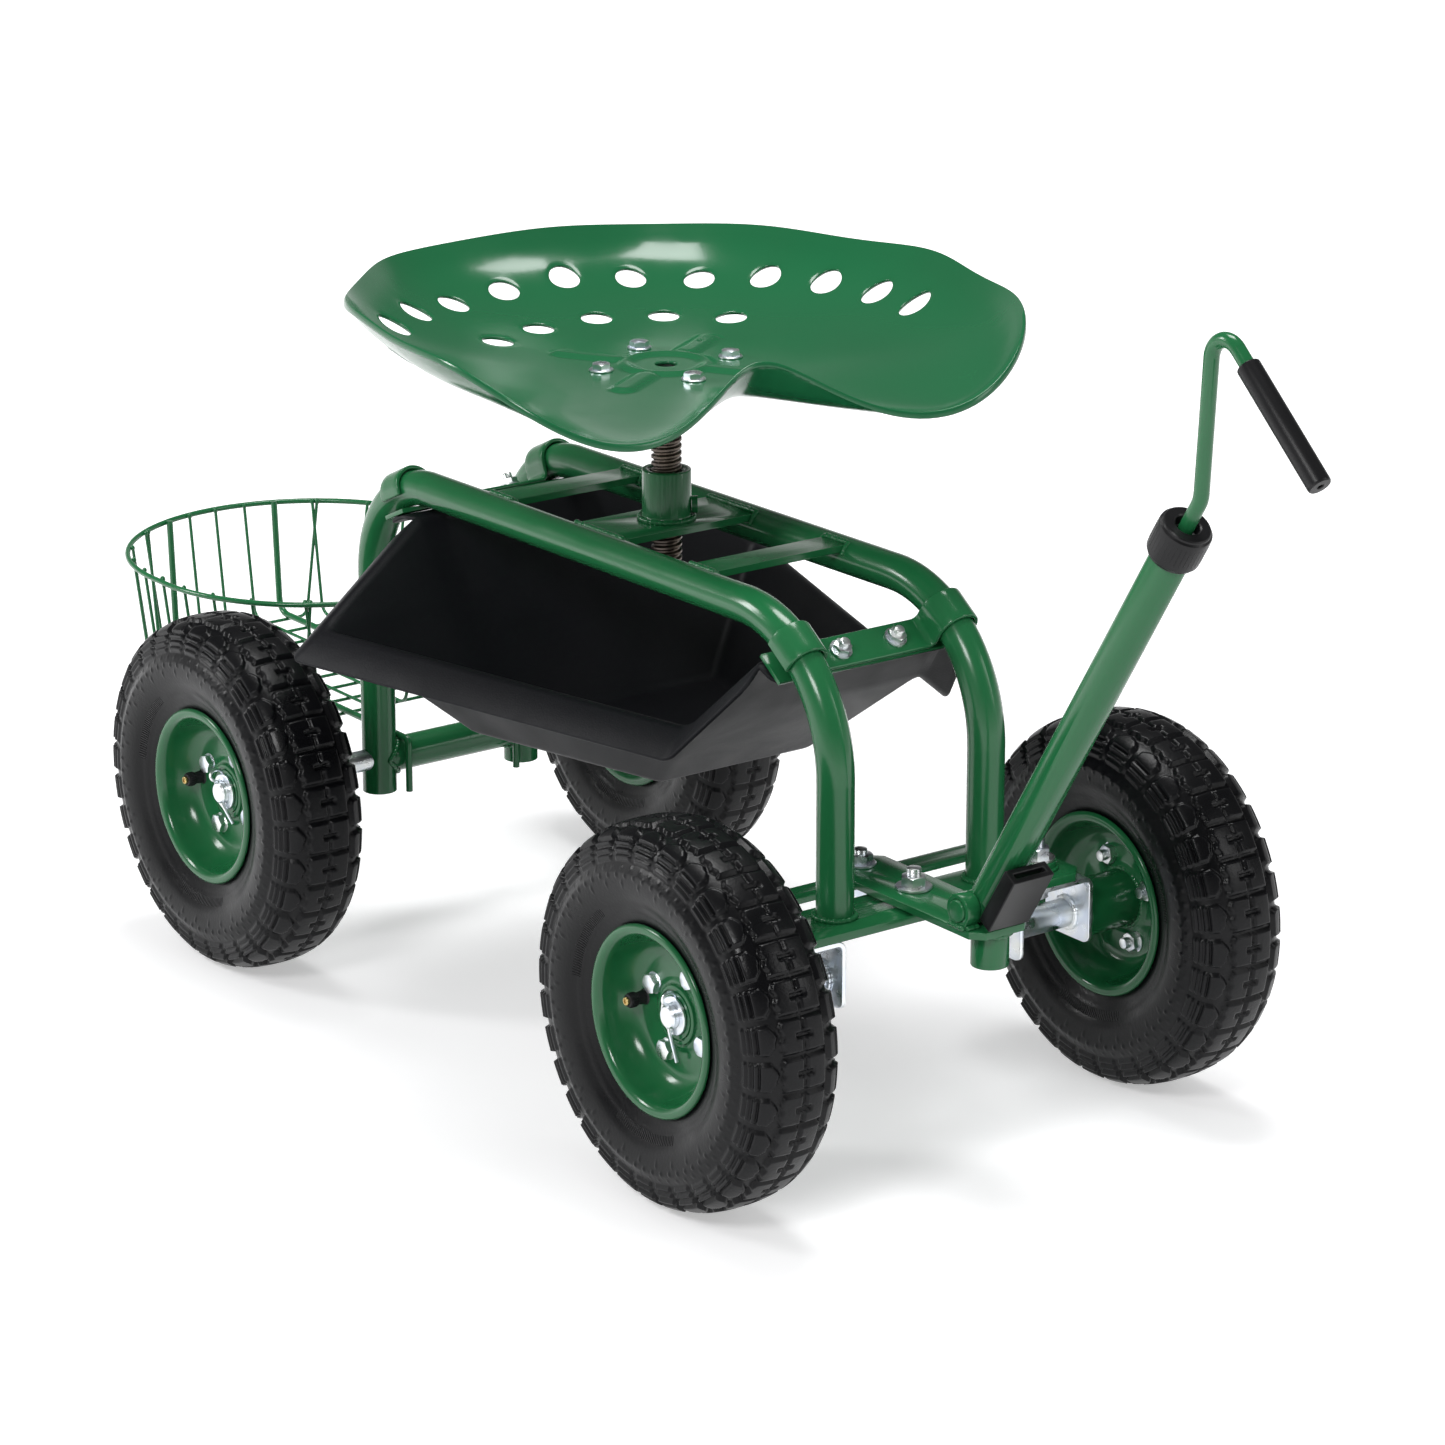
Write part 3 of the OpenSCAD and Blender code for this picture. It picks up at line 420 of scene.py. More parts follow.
class Shape:
    """Vertices and faces gathered from several simple forms."""

    def __init__(self):
        self.verts = []
        self.faces = []

    def add(self, verts, faces, matrix=None):
        start = len(self.verts)
        self.verts += [tuple(matrix @ Vector(v)) if matrix is not None else tuple(v) for v in verts]
        self.faces += [tuple(i + start for i in f) for f in faces]

    def grid(self, rows, matrix=None, closed_rows=False, closed_columns=True, caps=False):
        """rows of points, each row joined to the next; columns join round when closed_columns."""
        count, width = len(rows), len(rows[0])
        verts = [p for row in rows for p in row]
        faces = []
        for i in range(count if closed_rows else count - 1):
            for j in range(width if closed_columns else width - 1):
                a, b = i * width + j, i * width + (j + 1) % width
                c, d = ((i + 1) % count) * width + (j + 1) % width, ((i + 1) % count) * width + j
                faces.append((a, b, c, d))
        if caps:
            faces.append(tuple(range(width))[::-1])
            faces.append(tuple((count - 1) * width + j for j in range(width)))
        self.add(verts, faces, matrix)

    def piece(self, name, material, body, replaces=(), matrix=None, crease=32.0):
        """The gathered forms as a new mesh piece, smooth shaded up to the crease angle."""
        mesh = bpy.data.meshes.new(name)
        mesh.from_pydata(self.verts, [], self.faces)
        mesh.validate()
        mesh.update()
        mesh.shade_smooth()
        mesh.set_sharp_from_angle(angle=math.radians(crease))
        return mesh_piece(name, mesh, material, body, replaces, matrix)

    def stand_for(self, node, name, material="zinc", matrix=None, crease=32.0):
        """The gathered forms as a piece in the place of one CAD part."""
        return self.piece(name, material, BODY_OF[node], (node,), matrix, crease)

    def lathe(self, profile, matrix=None, steps=48, closed=False):
        """profile of (radius, height) turned about Z; closed joins its last point to its first."""
        rows = []
        for k in range(steps):
            a = -2 * math.pi * k / steps
            rows.append([(r * math.cos(a), r * math.sin(a), z) for r, z in profile])
        self.grid(rows, matrix, closed_rows=True, closed_columns=closed)

    def sweep(self, points, radius, steps, closed=False):
        """A round section carried along points; radius is a number or one number for each point."""
        points = [Vector(p) for p in points]
        count = len(points)
        radii = radius if hasattr(radius, "__len__") else [radius] * count
        rows, side = [], None
        for i, p in enumerate(points):
            ahead = points[(i + 1) % count] if closed or i < count - 1 else p
            behind = points[i - 1] if closed or i > 0 else p
            along = (ahead - behind).normalized()
            if side is None:
                side = along.orthogonal().normalized()
            side = (side - along * side.dot(along)).normalized()
            up = along.cross(side)
            rows.append([p + radii[i] * (math.cos(t) * side + math.sin(t) * up) for t in turns(steps)])
        self.grid(rows, closed_rows=closed, caps=not closed)

    def six_sided(self, radius, low, high, matrix, chamfer_top=True, chamfer_low=False):
        """A hexagon nut or head with turned corners; radius is half the width across corners."""
        steps, flat = 72, radius * math.cos(math.pi / 6)
        rows = []
        for k in range(steps):
            a = -2 * math.pi * k / steps
            r = flat / math.cos((a % (math.pi / 3)) - math.pi / 6)
            cut = (r - flat * 0.97) * 0.6
            top = high - (cut if chamfer_top else 0.0)
            foot = low + (cut if chamfer_low else 0.0)
            inner = flat * 0.95
            ca, sa = math.cos(a), math.sin(a)
            rows.append([(0.0, 0.0, low), (inner * ca, inner * sa, low), (r * ca, r * sa, foot),
                         (r * ca, r * sa, top), (inner * ca, inner * sa, high), (0.0, 0.0, high)])
        self.grid(rows, matrix, closed_rows=True, closed_columns=False)

    def low_nut(self, radius, low, high, matrix):
        self.six_sided(radius, low, high, matrix, chamfer_top=False, chamfer_low=True)

    def weld(self, points, radius, seed, closed=False):
        """A bead of overlapping ripples laid along points."""
        rng = random.Random(seed)
        path = resample([Vector(p) for p in points], 0.0007, closed)
        radii, travelled, wobble = [], 0.0, 1.0
        for i, p in enumerate(path):
            if i:
                travelled += (p - path[i - 1]).length
            ripple = 0.80 + 0.24 * abs(math.sin(math.pi * travelled / WELD_RIPPLE))
            wobble += 0.3 * ((1.0 + rng.uniform(-0.22, 0.22)) - wobble)
            radii.append(radius * ripple * wobble)
        if not closed:
            radii[0] = radii[-1] = radius * 0.45
        self.sweep(path, radii, steps=10, closed=closed)


def resample(points, step, closed=False):
    """Even points along a polyline."""
    loop = points + [points[0]] if closed else points
    lengths = np.array([0.0] + [(b - a).length for a, b in zip(loop, loop[1:])]).cumsum()
    count = max(int(lengths[-1] / step), 3)
    at = np.linspace(0, lengths[-1], count + 1)
    if closed:
        at = at[:-1]
    flat = np.array([list(p) for p in loop])
    return [Vector(tuple(np.interp(t, lengths, flat[:, k]) for k in range(3))) for t in at]


def rounded_path(points, radii, step=0.004):
    """A polyline with a bend radius at each inner point."""
    points = [Vector(p) for p in points]
    out = [points[0]]
    for i in range(1, len(points) - 1):
        before = (points[i - 1] - points[i]).normalized()
        after = (points[i + 1] - points[i]).normalized()
        angle, r = before.angle(after), radii[i]
        if r <= 0:
            out.append(points[i])
            continue
        back = r / math.tan(angle / 2)
        centre = points[i] + (before + after).normalized() * (r / math.sin(angle / 2))
        first, last = points[i] + before * back, points[i] + after * back
        sweep = math.pi - angle
        count = max(int(sweep * r / step), 6)
        normal = (first - centre).cross(last - centre).normalized()
        out += [centre + Matrix.Rotation(sweep * k / count, 3, normal) @ (first - centre)
                for k in range(count + 1)]
    out.append(points[-1])
    return out


def wheel_place(key):
    """Local +Z of a wheel part points away from the cart."""
    _, x, side = WHEELS[key]
    return shift(x, side * TRACK_HALF, WHEEL_Z) @ spin(-90 * side, "X")


# ---------------------------------------------------------------- tyres
TYRE_SECTION = [(130, 0), (129.3, 13), (126.8, 23), (122, 30.5), (114, 35.2), (104, 37.0), (94, 37.0),
                (85, 35.2), (77, 31.5), (69, 28.2), (64, 26), (59.5, 25.3), (57.6, 24)]


def smooth_curve(points, per):
    """A smooth curve through points, per steps to each, with the length gone at each of its points."""
    ext = np.vstack([2 * points[0] - points[1], points, 2 * points[-1] - points[-2]])
    curve = []
    for i in range(1, len(ext) - 2):
        p0, p1, p2, p3 = ext[i - 1:i + 3]
        for t in np.linspace(0, 1, per, endpoint=False):
            curve.append(0.5 * (2 * p1 + (p2 - p0) * t + (2 * p0 - 5 * p1 + 4 * p2 - p3) * t * t
                                + (3 * p1 - p0 - 3 * p2 + p3) * t ** 3))
    curve = np.array(curve + [points[-1]])
    return curve, np.concatenate([[0], np.linalg.norm(np.diff(curve, axis=0), axis=1).cumsum()])


def tyre_section(at):
    """Distance from the middle, radius and offset at the distances at along the mirrored half section."""
    full = [(r, -u) for r, u in reversed(TYRE_SECTION[1:])] + TYRE_SECTION
    curve, length = smooth_curve(np.array(full, float) / 1000, 24)
    middle_at = np.interp(0.0, curve[:, 1], length)
    at = np.clip(at, length[0] - middle_at, length[-1] - middle_at)
    return at, np.interp(at + middle_at, length, curve[:, 0]), np.interp(at + middle_at, length, curve[:, 1])


def block(s, p, s0, s1, half):
    """Signed distance inside a rectangular tyre block, in mm, from s0 to s1 across and half wide along."""
    return np.minimum(np.minimum(s - s0, s1 - s), half - np.abs(p))


def lug_rise(inside):
    return np.clip(inside / 0.95, 0, 1) ** 0.7


def cut_grooves(lug, s, p, grooves):
    """Grooves along the tyre, 1.5 mm wide, each at some distance across and half wide along."""
    for at, half in grooves:
        lug = np.minimum(lug, np.maximum(np.abs(s - at) - 0.75, np.abs(p) - half))
    return lug


def tread_height(s, p, pitch):
    """Share of the tread depth, 0 to 1, at s mm across (zig-zag side positive) and p mm along one pitch."""
    shifted = (p + pitch) % pitch - pitch / 2
    near = (p + pitch / 2) % pitch - pitch / 2
    teeth = 1.1 * np.abs(((near + 40) / 4.6) % 2 - 1) * 2 - 1.1
    first = block(s, near, 0.8, 17.0 + teeth, 11.3)
    second = block(s, near, -16.8, -0.8, 11.3)
    notch = np.minimum(1.1 - np.abs(near), 5.6 - np.abs(s))
    bridge = np.minimum(np.minimum(1.4 - np.abs(s), np.abs(near) - 1.0), 4.0 - np.abs(near))
    centre = np.maximum(np.minimum(np.maximum(first, second), -notch), bridge)
    point = np.clip((s - 20.6) * 1.15, 0, 5.6) + 4.6
    outer = np.minimum(block(s, near, 20.2 + teeth * 0.9, 48.0, 11.2), point - np.abs(near))
    outer = cut_grooves(outer, s, near, ((33.5, 8.6), (38.5, 12.0), (43.2, 12.0)))
    point = np.clip((-s - 19.8) * 1.4, 0, 3.6) + 6.8
    inner = np.minimum(block(-s, shifted, 19.8, 48.0, 11.2), point - np.abs(shifted))
    inner = cut_grooves(inner, -s, shifted, ((30.0, 7.6), (38.5, 12.0), (43.2, 12.0)))
    fade = np.clip((51.0 - np.abs(s)) / 16.0, 0.0, 1.0) ** 0.75
    return np.maximum(lug_rise(centre), np.maximum(lug_rise(outer), lug_rise(inner)) * fade)


def sidewall_relief(s, p, pitch):
    """Small round pips and one ring on the sidewall below the shoulder lugs, in mm."""
    near = (p + pitch / 2) % pitch - pitch / 2
    relief = np.zeros_like(s)
    for at, off in ((52.0, 0.0), (52.0, pitch / 2), (57.5, pitch / 4), (57.5, -pitch / 4), (63.0, 0.0)):
        gone = np.hypot(np.abs(s) - at, np.minimum(np.abs(near - off), pitch - np.abs(near - off)))
        relief = np.maximum(relief, 0.7 * np.clip(1.9 - gone, 0, 1))
    step = 0.5 * np.clip(1.2 - np.abs(np.abs(s) - 82.0), 0, 1)
    return np.maximum(relief, step)


def tyre_mesh():
    """The tyre as a grid: columns round it, and even steps across it that are wider on the sidewalls."""
    pitches = sizes().tread_pitches
    columns = pitches * 20
    pitch = 2 * math.pi * TYRE_RADIUS / pitches
    fine = np.arange(-60.5, 60.6, 1.1)
    outer = np.linspace(62.5, 100.4, 20)
    s, r, u = tyre_section(np.concatenate([-outer[::-1], fine, outer]) / 1000)
    nr, nu = np.gradient(u, s), -np.gradient(r, s)
    size = np.hypot(nr, nu)
    nr, nu = nr / size, nu / size
    angle = 2 * np.pi * np.arange(columns) / columns
    across, along = np.meshgrid(s * 1000, (angle * TYRE_RADIUS) % pitch)
    in_tread = np.clip((56.0 - np.abs(across)) / 8.0, 0, 1)
    down = sizes().tread_depth * (1 - tread_height(across, along, pitch)) * in_tread \
        - sidewall_relief(across, along, pitch) / 1000 * (1 - in_tread)
    radius, offset = r - nr * down, u - nu * down
    verts = np.stack([radius * np.cos(angle)[:, None], radius * np.sin(angle)[:, None], offset], axis=-1)
    width = len(s)
    i, j = np.meshgrid(np.arange(columns), np.arange(width - 1), indexing="ij")
    here, ahead = i * width + j, ((i + 1) % columns) * width + j
    faces = np.stack([here, ahead, ahead + 1, here + 1], axis=-1)
    mesh = bpy.data.meshes.new("tyre")
    mesh.from_pydata(verts.reshape(-1, 3).tolist(), [], faces.reshape(-1, 4).tolist())
    mesh.update()
    mesh.shade_smooth()
    mesh.materials.append(MATERIALS["tyre"])
    return mesh


class GARDENCART_OT_tyres(bpy.types.Operator):
    """Four pneumatic tyres with a block tread, zig-zag on one shoulder, and plain sidewalls"""
    bl_idname = "garden_cart.tyres"
    bl_label = "Tyres"

    def execute(self, context):
        mesh = tyre_mesh()
        for key, (body, x, side) in WHEELS.items():
            place = shift(x, side * TRACK_HALF, WHEEL_Z) @ spin(90, "X")
            mesh_piece(key + "_tyre_tread", mesh, "tyre", body, (key + "_tyre",), place)
        return {"FINISHED"}


# ---------------------------------------------------------------- rims, hubs and wheel hardware
# half sections as (radius, distance along the axle) in mm; from_mm turns them into metres
OUTER_RIM = [(63.3, 27.2), (63.5, 28.0), (62.9, 28.6), (61.6, 28.8), (60.2, 28.6), (58.9, 27.9),
             (57.8, 26.6), (57.0, 24.6), (56.4, 22), (55.4, 18), (53.9, 14), (51.9, 10.4), (49.4, 7.4),
             (46.6, 5.2), (43.6, 3.8), (41.0, 3.2), (38, 3.05), (27, 3.05), (24.5, 3.4), (22.6, 4.2),
             (20.6, 4.5), (20.3, 1.6)]
HUB_TUBE = from_mm(
    (8.3, -47.6), (15.6, -47.6), (16, -46.6), (17.2, -46.6), (17.5, -47.6), (19.2, -48), (20, -47.2),
    (20, 6.6), (19.6, 7.6), (18.6, 8), (17.4, 8), (17.1, 6.8), (16.1, 6.8), (15.8, 8), (13.0, 8),
    (12.4, 6.9), (8.3, 6.7))
VALVE_STEM = from_mm(
    (0.1, 2.6), (5.6, 2.8), (5.9, 3.6), (5.3, 4.6), (4.6, 5.2), (4.3, 9), (4.0, 11), (4.3, 11.4),
    (4.8, 11.8), (4.8, 17.0), (4.3, 17.8), (3.0, 18.1), (2.6, 17.4), (0.1, 17.2))
VALVE_TIP = [(0.0028, 0.0168), (0.0028, 0.0196), (0.0025, 0.0199), (0.0016, 0.0199), (0.0015, 0.0192),
             (AXIS, 0.0192)]
DISH_RADIUS = 47.5
HUB_WELD, RIM_BOLTS_AT = 0.0206, 0.031


def rim_shell(side_sign, lobes):
    """Pressed half rim: a deep dish with a flat bolt face; lobes adds the pressings of the axle side."""
    curve, length = smooth_curve(np.array(OUTER_RIM, float), 12)
    at = np.linspace(0, length[-1], 90)
    points = np.stack([np.interp(at, length, curve[:, k]) for k in range(2)], axis=1).tolist()
    rows = []
    for a in turns(160):
        push = 2.0 * max(0.0, math.sin(4 * (a - math.radians(20)))) ** 1.5
        row = []
        for r, z in points:
            if lobes and r < DISH_RADIUS:
                z = z - push * min(max((r - 24) / 8, 0), 1) * min(max((DISH_RADIUS - r) / 5, 0), 1)
            row.append((r * math.cos(a) / 1000, r * math.sin(a) / 1000, side_sign * z / 1000))
        rows.append(row if side_sign > 0 else row[::-1])
    return rows


def split_pin(shape, place, leg, fork=0.012):
    """A round-wire split pin through the axle: an eye, a shank and one leg bent along the axle's face."""
    eye = [(0.0052 * math.cos(t), 0, -0.0125 + 0.0042 * math.sin(t)) for t in turns(20)]
    shank = rounded_path([(0, 0, -0.009), (0, 0, 0.0095), leg], [0, 0.0025, 0], 0.0006)
    short = rounded_path([(0.0012, 0, 0.004), (0.0012, 0, 0.0100), (0.0062, 0, fork)], [0, 0.002, 0], 0.0006)
    for path, radius in ((eye, 0.0011), (shank, 0.0013), (short, 0.0009)):
        shape.sweep([place @ Vector(p) for p in path], radius, steps=8, closed=path is eye)


class GARDENCART_OT_rims(bpy.types.Operator):
    """Two-part pressed rims with hub tubes, weld rings, clamp bolts, nuts and valves"""
    bl_idname = "garden_cart.rims"
    bl_label = "Rims and hubs"

    def execute(self, context):
        for key in WHEELS:
            place = wheel_place(key)
            shells = Shape()
            shells.grid(rim_shell(1, False), closed_rows=True, closed_columns=False)
            shells.grid(rim_shell(-1, True), closed_rows=True, closed_columns=False)
            dish = shells.stand_for(key + "_rim", key + "_rim_dish", "wheel_green", place, crease=50)
            thicken(dish, 0.0012, -1.0)
            hub = Shape()
            hub.lathe(HUB_TUBE, steps=72)
            for seed, z, radius in ((7, 0.0046, 0.0014), (8, -0.0046, 0.0019)):
                hub.weld(circle(HUB_WELD, z, 60), radius, seed=seed + len(key), closed=True)
            hub.stand_for(key + "_hub", key + "_hub_tube", "wheel_green", place)
            self.bolts(key, place)
            self.valve(key, place)
        return {"FINISHED"}

    def bolts(self, key, place):
        shape = Shape()
        for k in range(4):
            a = math.radians(65 + 90 * k)
            turn = spot_at(RIM_BOLTS_AT * math.cos(a), RIM_BOLTS_AT * math.sin(a), 0, 0.4 + 0.9 * k)
            shape.lathe([(AXIS, 0.0031), (0.0074, 0.0031), (0.0076, 0.0034), (0.0076, 0.0042),
                         (0.0073, 0.0045), (AXIS, 0.0045)], turn, 36)
            shape.six_sided(0.0070, 0.0044, 0.0096, turn)
            shape.lathe(plate(AXIS, 0.0080, -0.0031, -0.0042), turn, 36)
            shape.low_nut(0.0070, -0.0098, -0.0042, turn)
            threaded_end(shape, turn, 0.0039, -0.0098, -0.0145)
        shape.stand_for(key + "_rim_bolts", key + "_rim_bolt_set", matrix=place)

    def valve(self, key, place):
        spot = place @ spin(180) @ shift(0.039, 0, 0)
        stem = Shape()
        stem.lathe(VALVE_STEM, steps=36)
        for x, y, _ in circle(0.0048, 0, 20):
            stem.sweep([(x, y, 0.0124), (x, y, 0.0164)], 0.00035, steps=6)
        stem.stand_for(key + "_valve", key + "_valve_stem", "valve_rubber", spot)
        tip = Shape()
        tip.lathe(VALVE_TIP, steps=28)
        tip.piece(key + "_valve_tip", "brass", BODY_OF[key + "_valve"], matrix=spot)


THREAD_PITCH, THREAD_DEPTH = 0.00125, 0.00035


def threaded_end(shape, place, radius, base, tip):
    """A bolt end with a real helical thread, from base to tip along local Z."""
    length, around = tip - base, 24
    count = int(abs(length) / THREAD_PITCH * 4) + 1
    rows = []
    for i in range(count + 1):
        z = base + length * i / count
        row = []
        for k, a in enumerate(turns(around)):
            phase = ((z - base) / THREAD_PITCH + math.copysign(k / around, length)) % 1.0
            r = radius - THREAD_DEPTH * abs(2 * phase - 1)
            row.append((r * math.cos(a), r * math.sin(a), z))
        rows.append(row)
    rows.append(circle(radius - 0.0008, tip + math.copysign(0.0003, length), around))
    shape.grid(rows if length > 0 else [r[::-1] for r in rows], place, caps=True)


class GARDENCART_OT_axle_ends(bpy.types.Operator):
    """Washers and split pins at the four wheels"""
    bl_idname = "garden_cart.axle_ends"
    bl_label = "Axle ends"

    def execute(self, context):
        # for each wheel: the body, the CAD part replaced, the turn of the pin and the end of its long leg
        jobs = {"fr": ("knuckle_right", ("retainers_right",), -90, (0.0035, 0.0035, 0.031)),
                "fl": ("knuckle_left", ("retainers_left",), 60, (0.0035, 0.0035, 0.026)),
                "rr": ("frame", ("rear_retainers",), -70, (0.0035, 0.003, 0.024)),
                "rl": ("frame", (), 20, (0.0035, 0.0035, 0.028))}
        for key, (body, nodes, turn, leg) in jobs.items():
            shape = Shape()
            for z in (0.0083, -0.0503):
                shape.lathe([(0.0081, z), (0.0126, z), (0.0130, z + 0.0003), (0.0130, z + 0.0017),
                             (0.0126, z + 0.002), (0.0081, z + 0.002)], steps=48, closed=True)
            split_pin(shape, shift(0, 0, 0.0128) @ spin(turn) @ spin(90, "Y"), leg)
            if key[0] == "r":
                split_pin(shape, shift(0, 0, -0.0535) @ spin(35) @ spin(90, "Y"), (0, 0.006, 0.018), 0.013)
            shape.piece(key + "_washers_and_pin", "zinc", body, nodes, wheel_place(key))
        return {"FINISHED"}


# ---------------------------------------------------------------- seat
# cosine terms, in mm, of the rim's radius and height round the seat; angle 0 is the front
RIM_RADIUS = [222.5, -4.7, -6.2, -17.8, -16.6, -8.3, -6.2, 1.2, -1.8]
RIM_HEIGHT = [42, -12.6, -11.3, -3.2, 3.8, 5.9, 6.6, 4.7, 3.3]
SEAT_MIDDLE_Z = 0.476
SEAT_TURN = math.radians(-13)
SEAT_FLAT, SEAT_HOLE, SEAT_BOLTS_AT = 55.0, 11.0, 48
RIM_ROLL = 1.5


def series(terms, angle):
    """Sum of cosine terms, the first of them constant."""
    return sum(c * np.cos(k * angle) for k, c in enumerate(terms))


def rim_radius(x, y):
    """Radius of the seat's rim in mm in the direction of a point."""
    return float(series(RIM_RADIUS, np.array(math.atan2(y, x))))


def seat_place():
    return spot_at(POST_X, 0, SEAT_MIDDLE_Z, SEAT_TURN)


def seat_holes():
    """Centres of the round holes in mm: thirteen round the back and sides, five further in."""
    outer = [(188, 180 + 15 * k) for k in range(-6, 7)]
    inner = [(127, 180 + 22 * k) for k in range(-2, 3)]
    return [(r * math.cos(math.radians(a)), r * math.sin(math.radians(a))) for r, a in outer + inner]


def seat_surface(x, y):
    """Height in mm of the pressed seat above its middle."""
    angle, r = np.arctan2(y, x), np.hypot(x, y)
    edge = series(RIM_RADIUS, angle)
    t = np.clip((r - SEAT_FLAT) / (edge - SEAT_FLAT), 0, 1)
    z = series(RIM_HEIGHT, angle) * (0.55 * t ** 2.2 + 0.45 * t ** 8)
    over = np.clip((r - edge) / RIM_ROLL, 0, 1)
    z = z - 4.5 * (1 - np.sqrt(1 - over ** 2))
    z = z + 0.5 * np.clip(1 - np.abs(r - edge + 5.0) / 5.0, 0, 1)
    height = sizes().emboss_height * 1000
    ring = np.clip(1 - np.abs(r - 28.5) / 7.5, 0, 1)
    lift = height * (ring * ring * (3 - 2 * ring))
    for k in range(4):
        a = math.radians(45 + 90 * k)
        along = x * math.cos(a) + y * math.sin(a)
        across = -x * math.sin(a) + y * math.cos(a)
        end = np.hypot(np.clip(along - 76, 0, None) + np.clip(38 - along, 0, None), across)
        rib = np.clip(1.7 - end / 6.5, 0, 1)
        lift = np.maximum(lift, height * rib * rib * (3 - 2 * rib))
        a = math.radians(90 * k)
        from_bolt = np.hypot(x - SEAT_BOLTS_AT * math.cos(a), y - SEAT_BOLTS_AT * math.sin(a))
        lift = lift * (1 - np.clip(2.4 - from_bolt / 6.5, 0, 1))
    z = z + lift
    for cx, cy in seat_holes():
        near = np.hypot(x - cx, y - cy) - SEAT_HOLE
        z = z - 0.9 * np.clip(1 - near / 3.2, 0, 1) ** 2
    return z


def seat_points():
    """Plan points and loops of the seat sheet: rim rings, hole rings and an even field."""
    points, loops = [], []
    around = np.linspace(0, 2 * np.pi, 300, endpoint=False)
    edge = series(RIM_RADIUS, around)
    for off in (RIM_ROLL, 1.47, 1.3, 0.9, 0.45, 0.0, -1.4, -3.4, -6.0, -9.5):
        start = len(points)
        points += list(zip((edge + off) * np.cos(around), (edge + off) * np.sin(around)))
        loops.append((start, len(around)))
    cuts = [(cx, cy, SEAT_HOLE) for cx, cy in seat_holes()]
    small = [(SEAT_BOLTS_AT, 90 * k, 4.4) for k in range(4)] + [(0, 0, 8.0), (62, 135, 2.2)]
    cuts += [(at * math.cos(math.radians(a)), at * math.sin(math.radians(a)), r) for at, a, r in small]
    for cx, cy, r in cuts:
        steps = 48 if r > 6 else 24
        ring = np.linspace(0, 2 * np.pi, steps, endpoint=False)
        for off in (0.0, 0.5, 1.2, 2.2, 3.6):
            start = len(points)
            points += list(zip(cx + (r + off) * np.cos(ring), cy + (r + off) * np.sin(ring)))
            loops.append((start, steps))
    field = []
    for spacing, low, high in ((2.4, 0, 92), (5.0, 92, 400)):
        n = int(260 / spacing)
        for i in range(-n, n + 1):
            for j in range(-n, n + 1):
                x, y = (i + 0.5 * (j % 2)) * spacing, j * spacing * 0.866
                r = math.hypot(x, y)
                if low <= r < high and r < rim_radius(x, y) - 12 \
                        and all(math.hypot(x - cx, y - cy) > rr + 4.6 for cx, cy, rr in cuts):
                    field.append((x, y))
    return points + field, loops, cuts


class GARDENCART_OT_seat(bpy.types.Operator):
    """Pressed steel tractor seat with its rolled rim, punched holes, embossing and bolts"""
    bl_idname = "garden_cart.seat"
    bl_label = "Seat"

    def execute(self, context):
        points, loops, cuts = seat_points()
        rings = [(start + k, start + (k + 1) % count) for start, count in loops for k in range(count)]
        verts, _, faces, *_ = geometry.delaunay_2d_cdt([Vector(p) for p in points], rings, [], 0, 1e-4)
        flat = np.array([list(v) for v in verts])
        keep = []
        for face in faces:
            x, y = flat[list(face)].mean(axis=0)
            if math.hypot(x, y) <= rim_radius(x, y) + RIM_ROLL \
                    and all(math.hypot(x - cx, y - cy) > r * 0.995 for cx, cy, r in cuts):
                keep.append(tuple(face))
        sheet = Shape()
        sheet.add(np.column_stack([flat, seat_surface(flat[:, 0], flat[:, 1])]) / 1000, keep, seat_place())
        thicken(sheet.stand_for("seat_pan", "seat_sheet", "seat_green", crease=70), 0.0024, -1.0)
        self.bolts()
        return {"FINISHED"}

    def bolts(self):
        shape = Shape()
        for k in range(4):
            spot = seat_place() @ spin(90 * k) @ shift(SEAT_BOLTS_AT / 1000, 0, 0)
            shape.lathe([(AXIS, 0.0002), (0.0083, 0.0002), (0.0085, 0.0005), (0.0084, 0.0012),
                         (0.0080, 0.0015), (AXIS, 0.0015)], spot, 40)
            shape.six_sided(0.0068, 0.0014, 0.0055, spot @ Matrix.Rotation(0.3 + k, 4, "Z"))
            shape.lathe([(AXIS, 0.0062), (0.0022, 0.0061), (0.0040, 0.0057), (0.0054, 0.0050)], spot, 36)
            shape.six_sided(0.0068, -0.0126, -0.0068, spot, chamfer_low=True)
            threaded_end(shape, spot, 0.0040, -0.0126, -0.0140)
        shape.stand_for("seat_bolts", "seat_bolt_set")


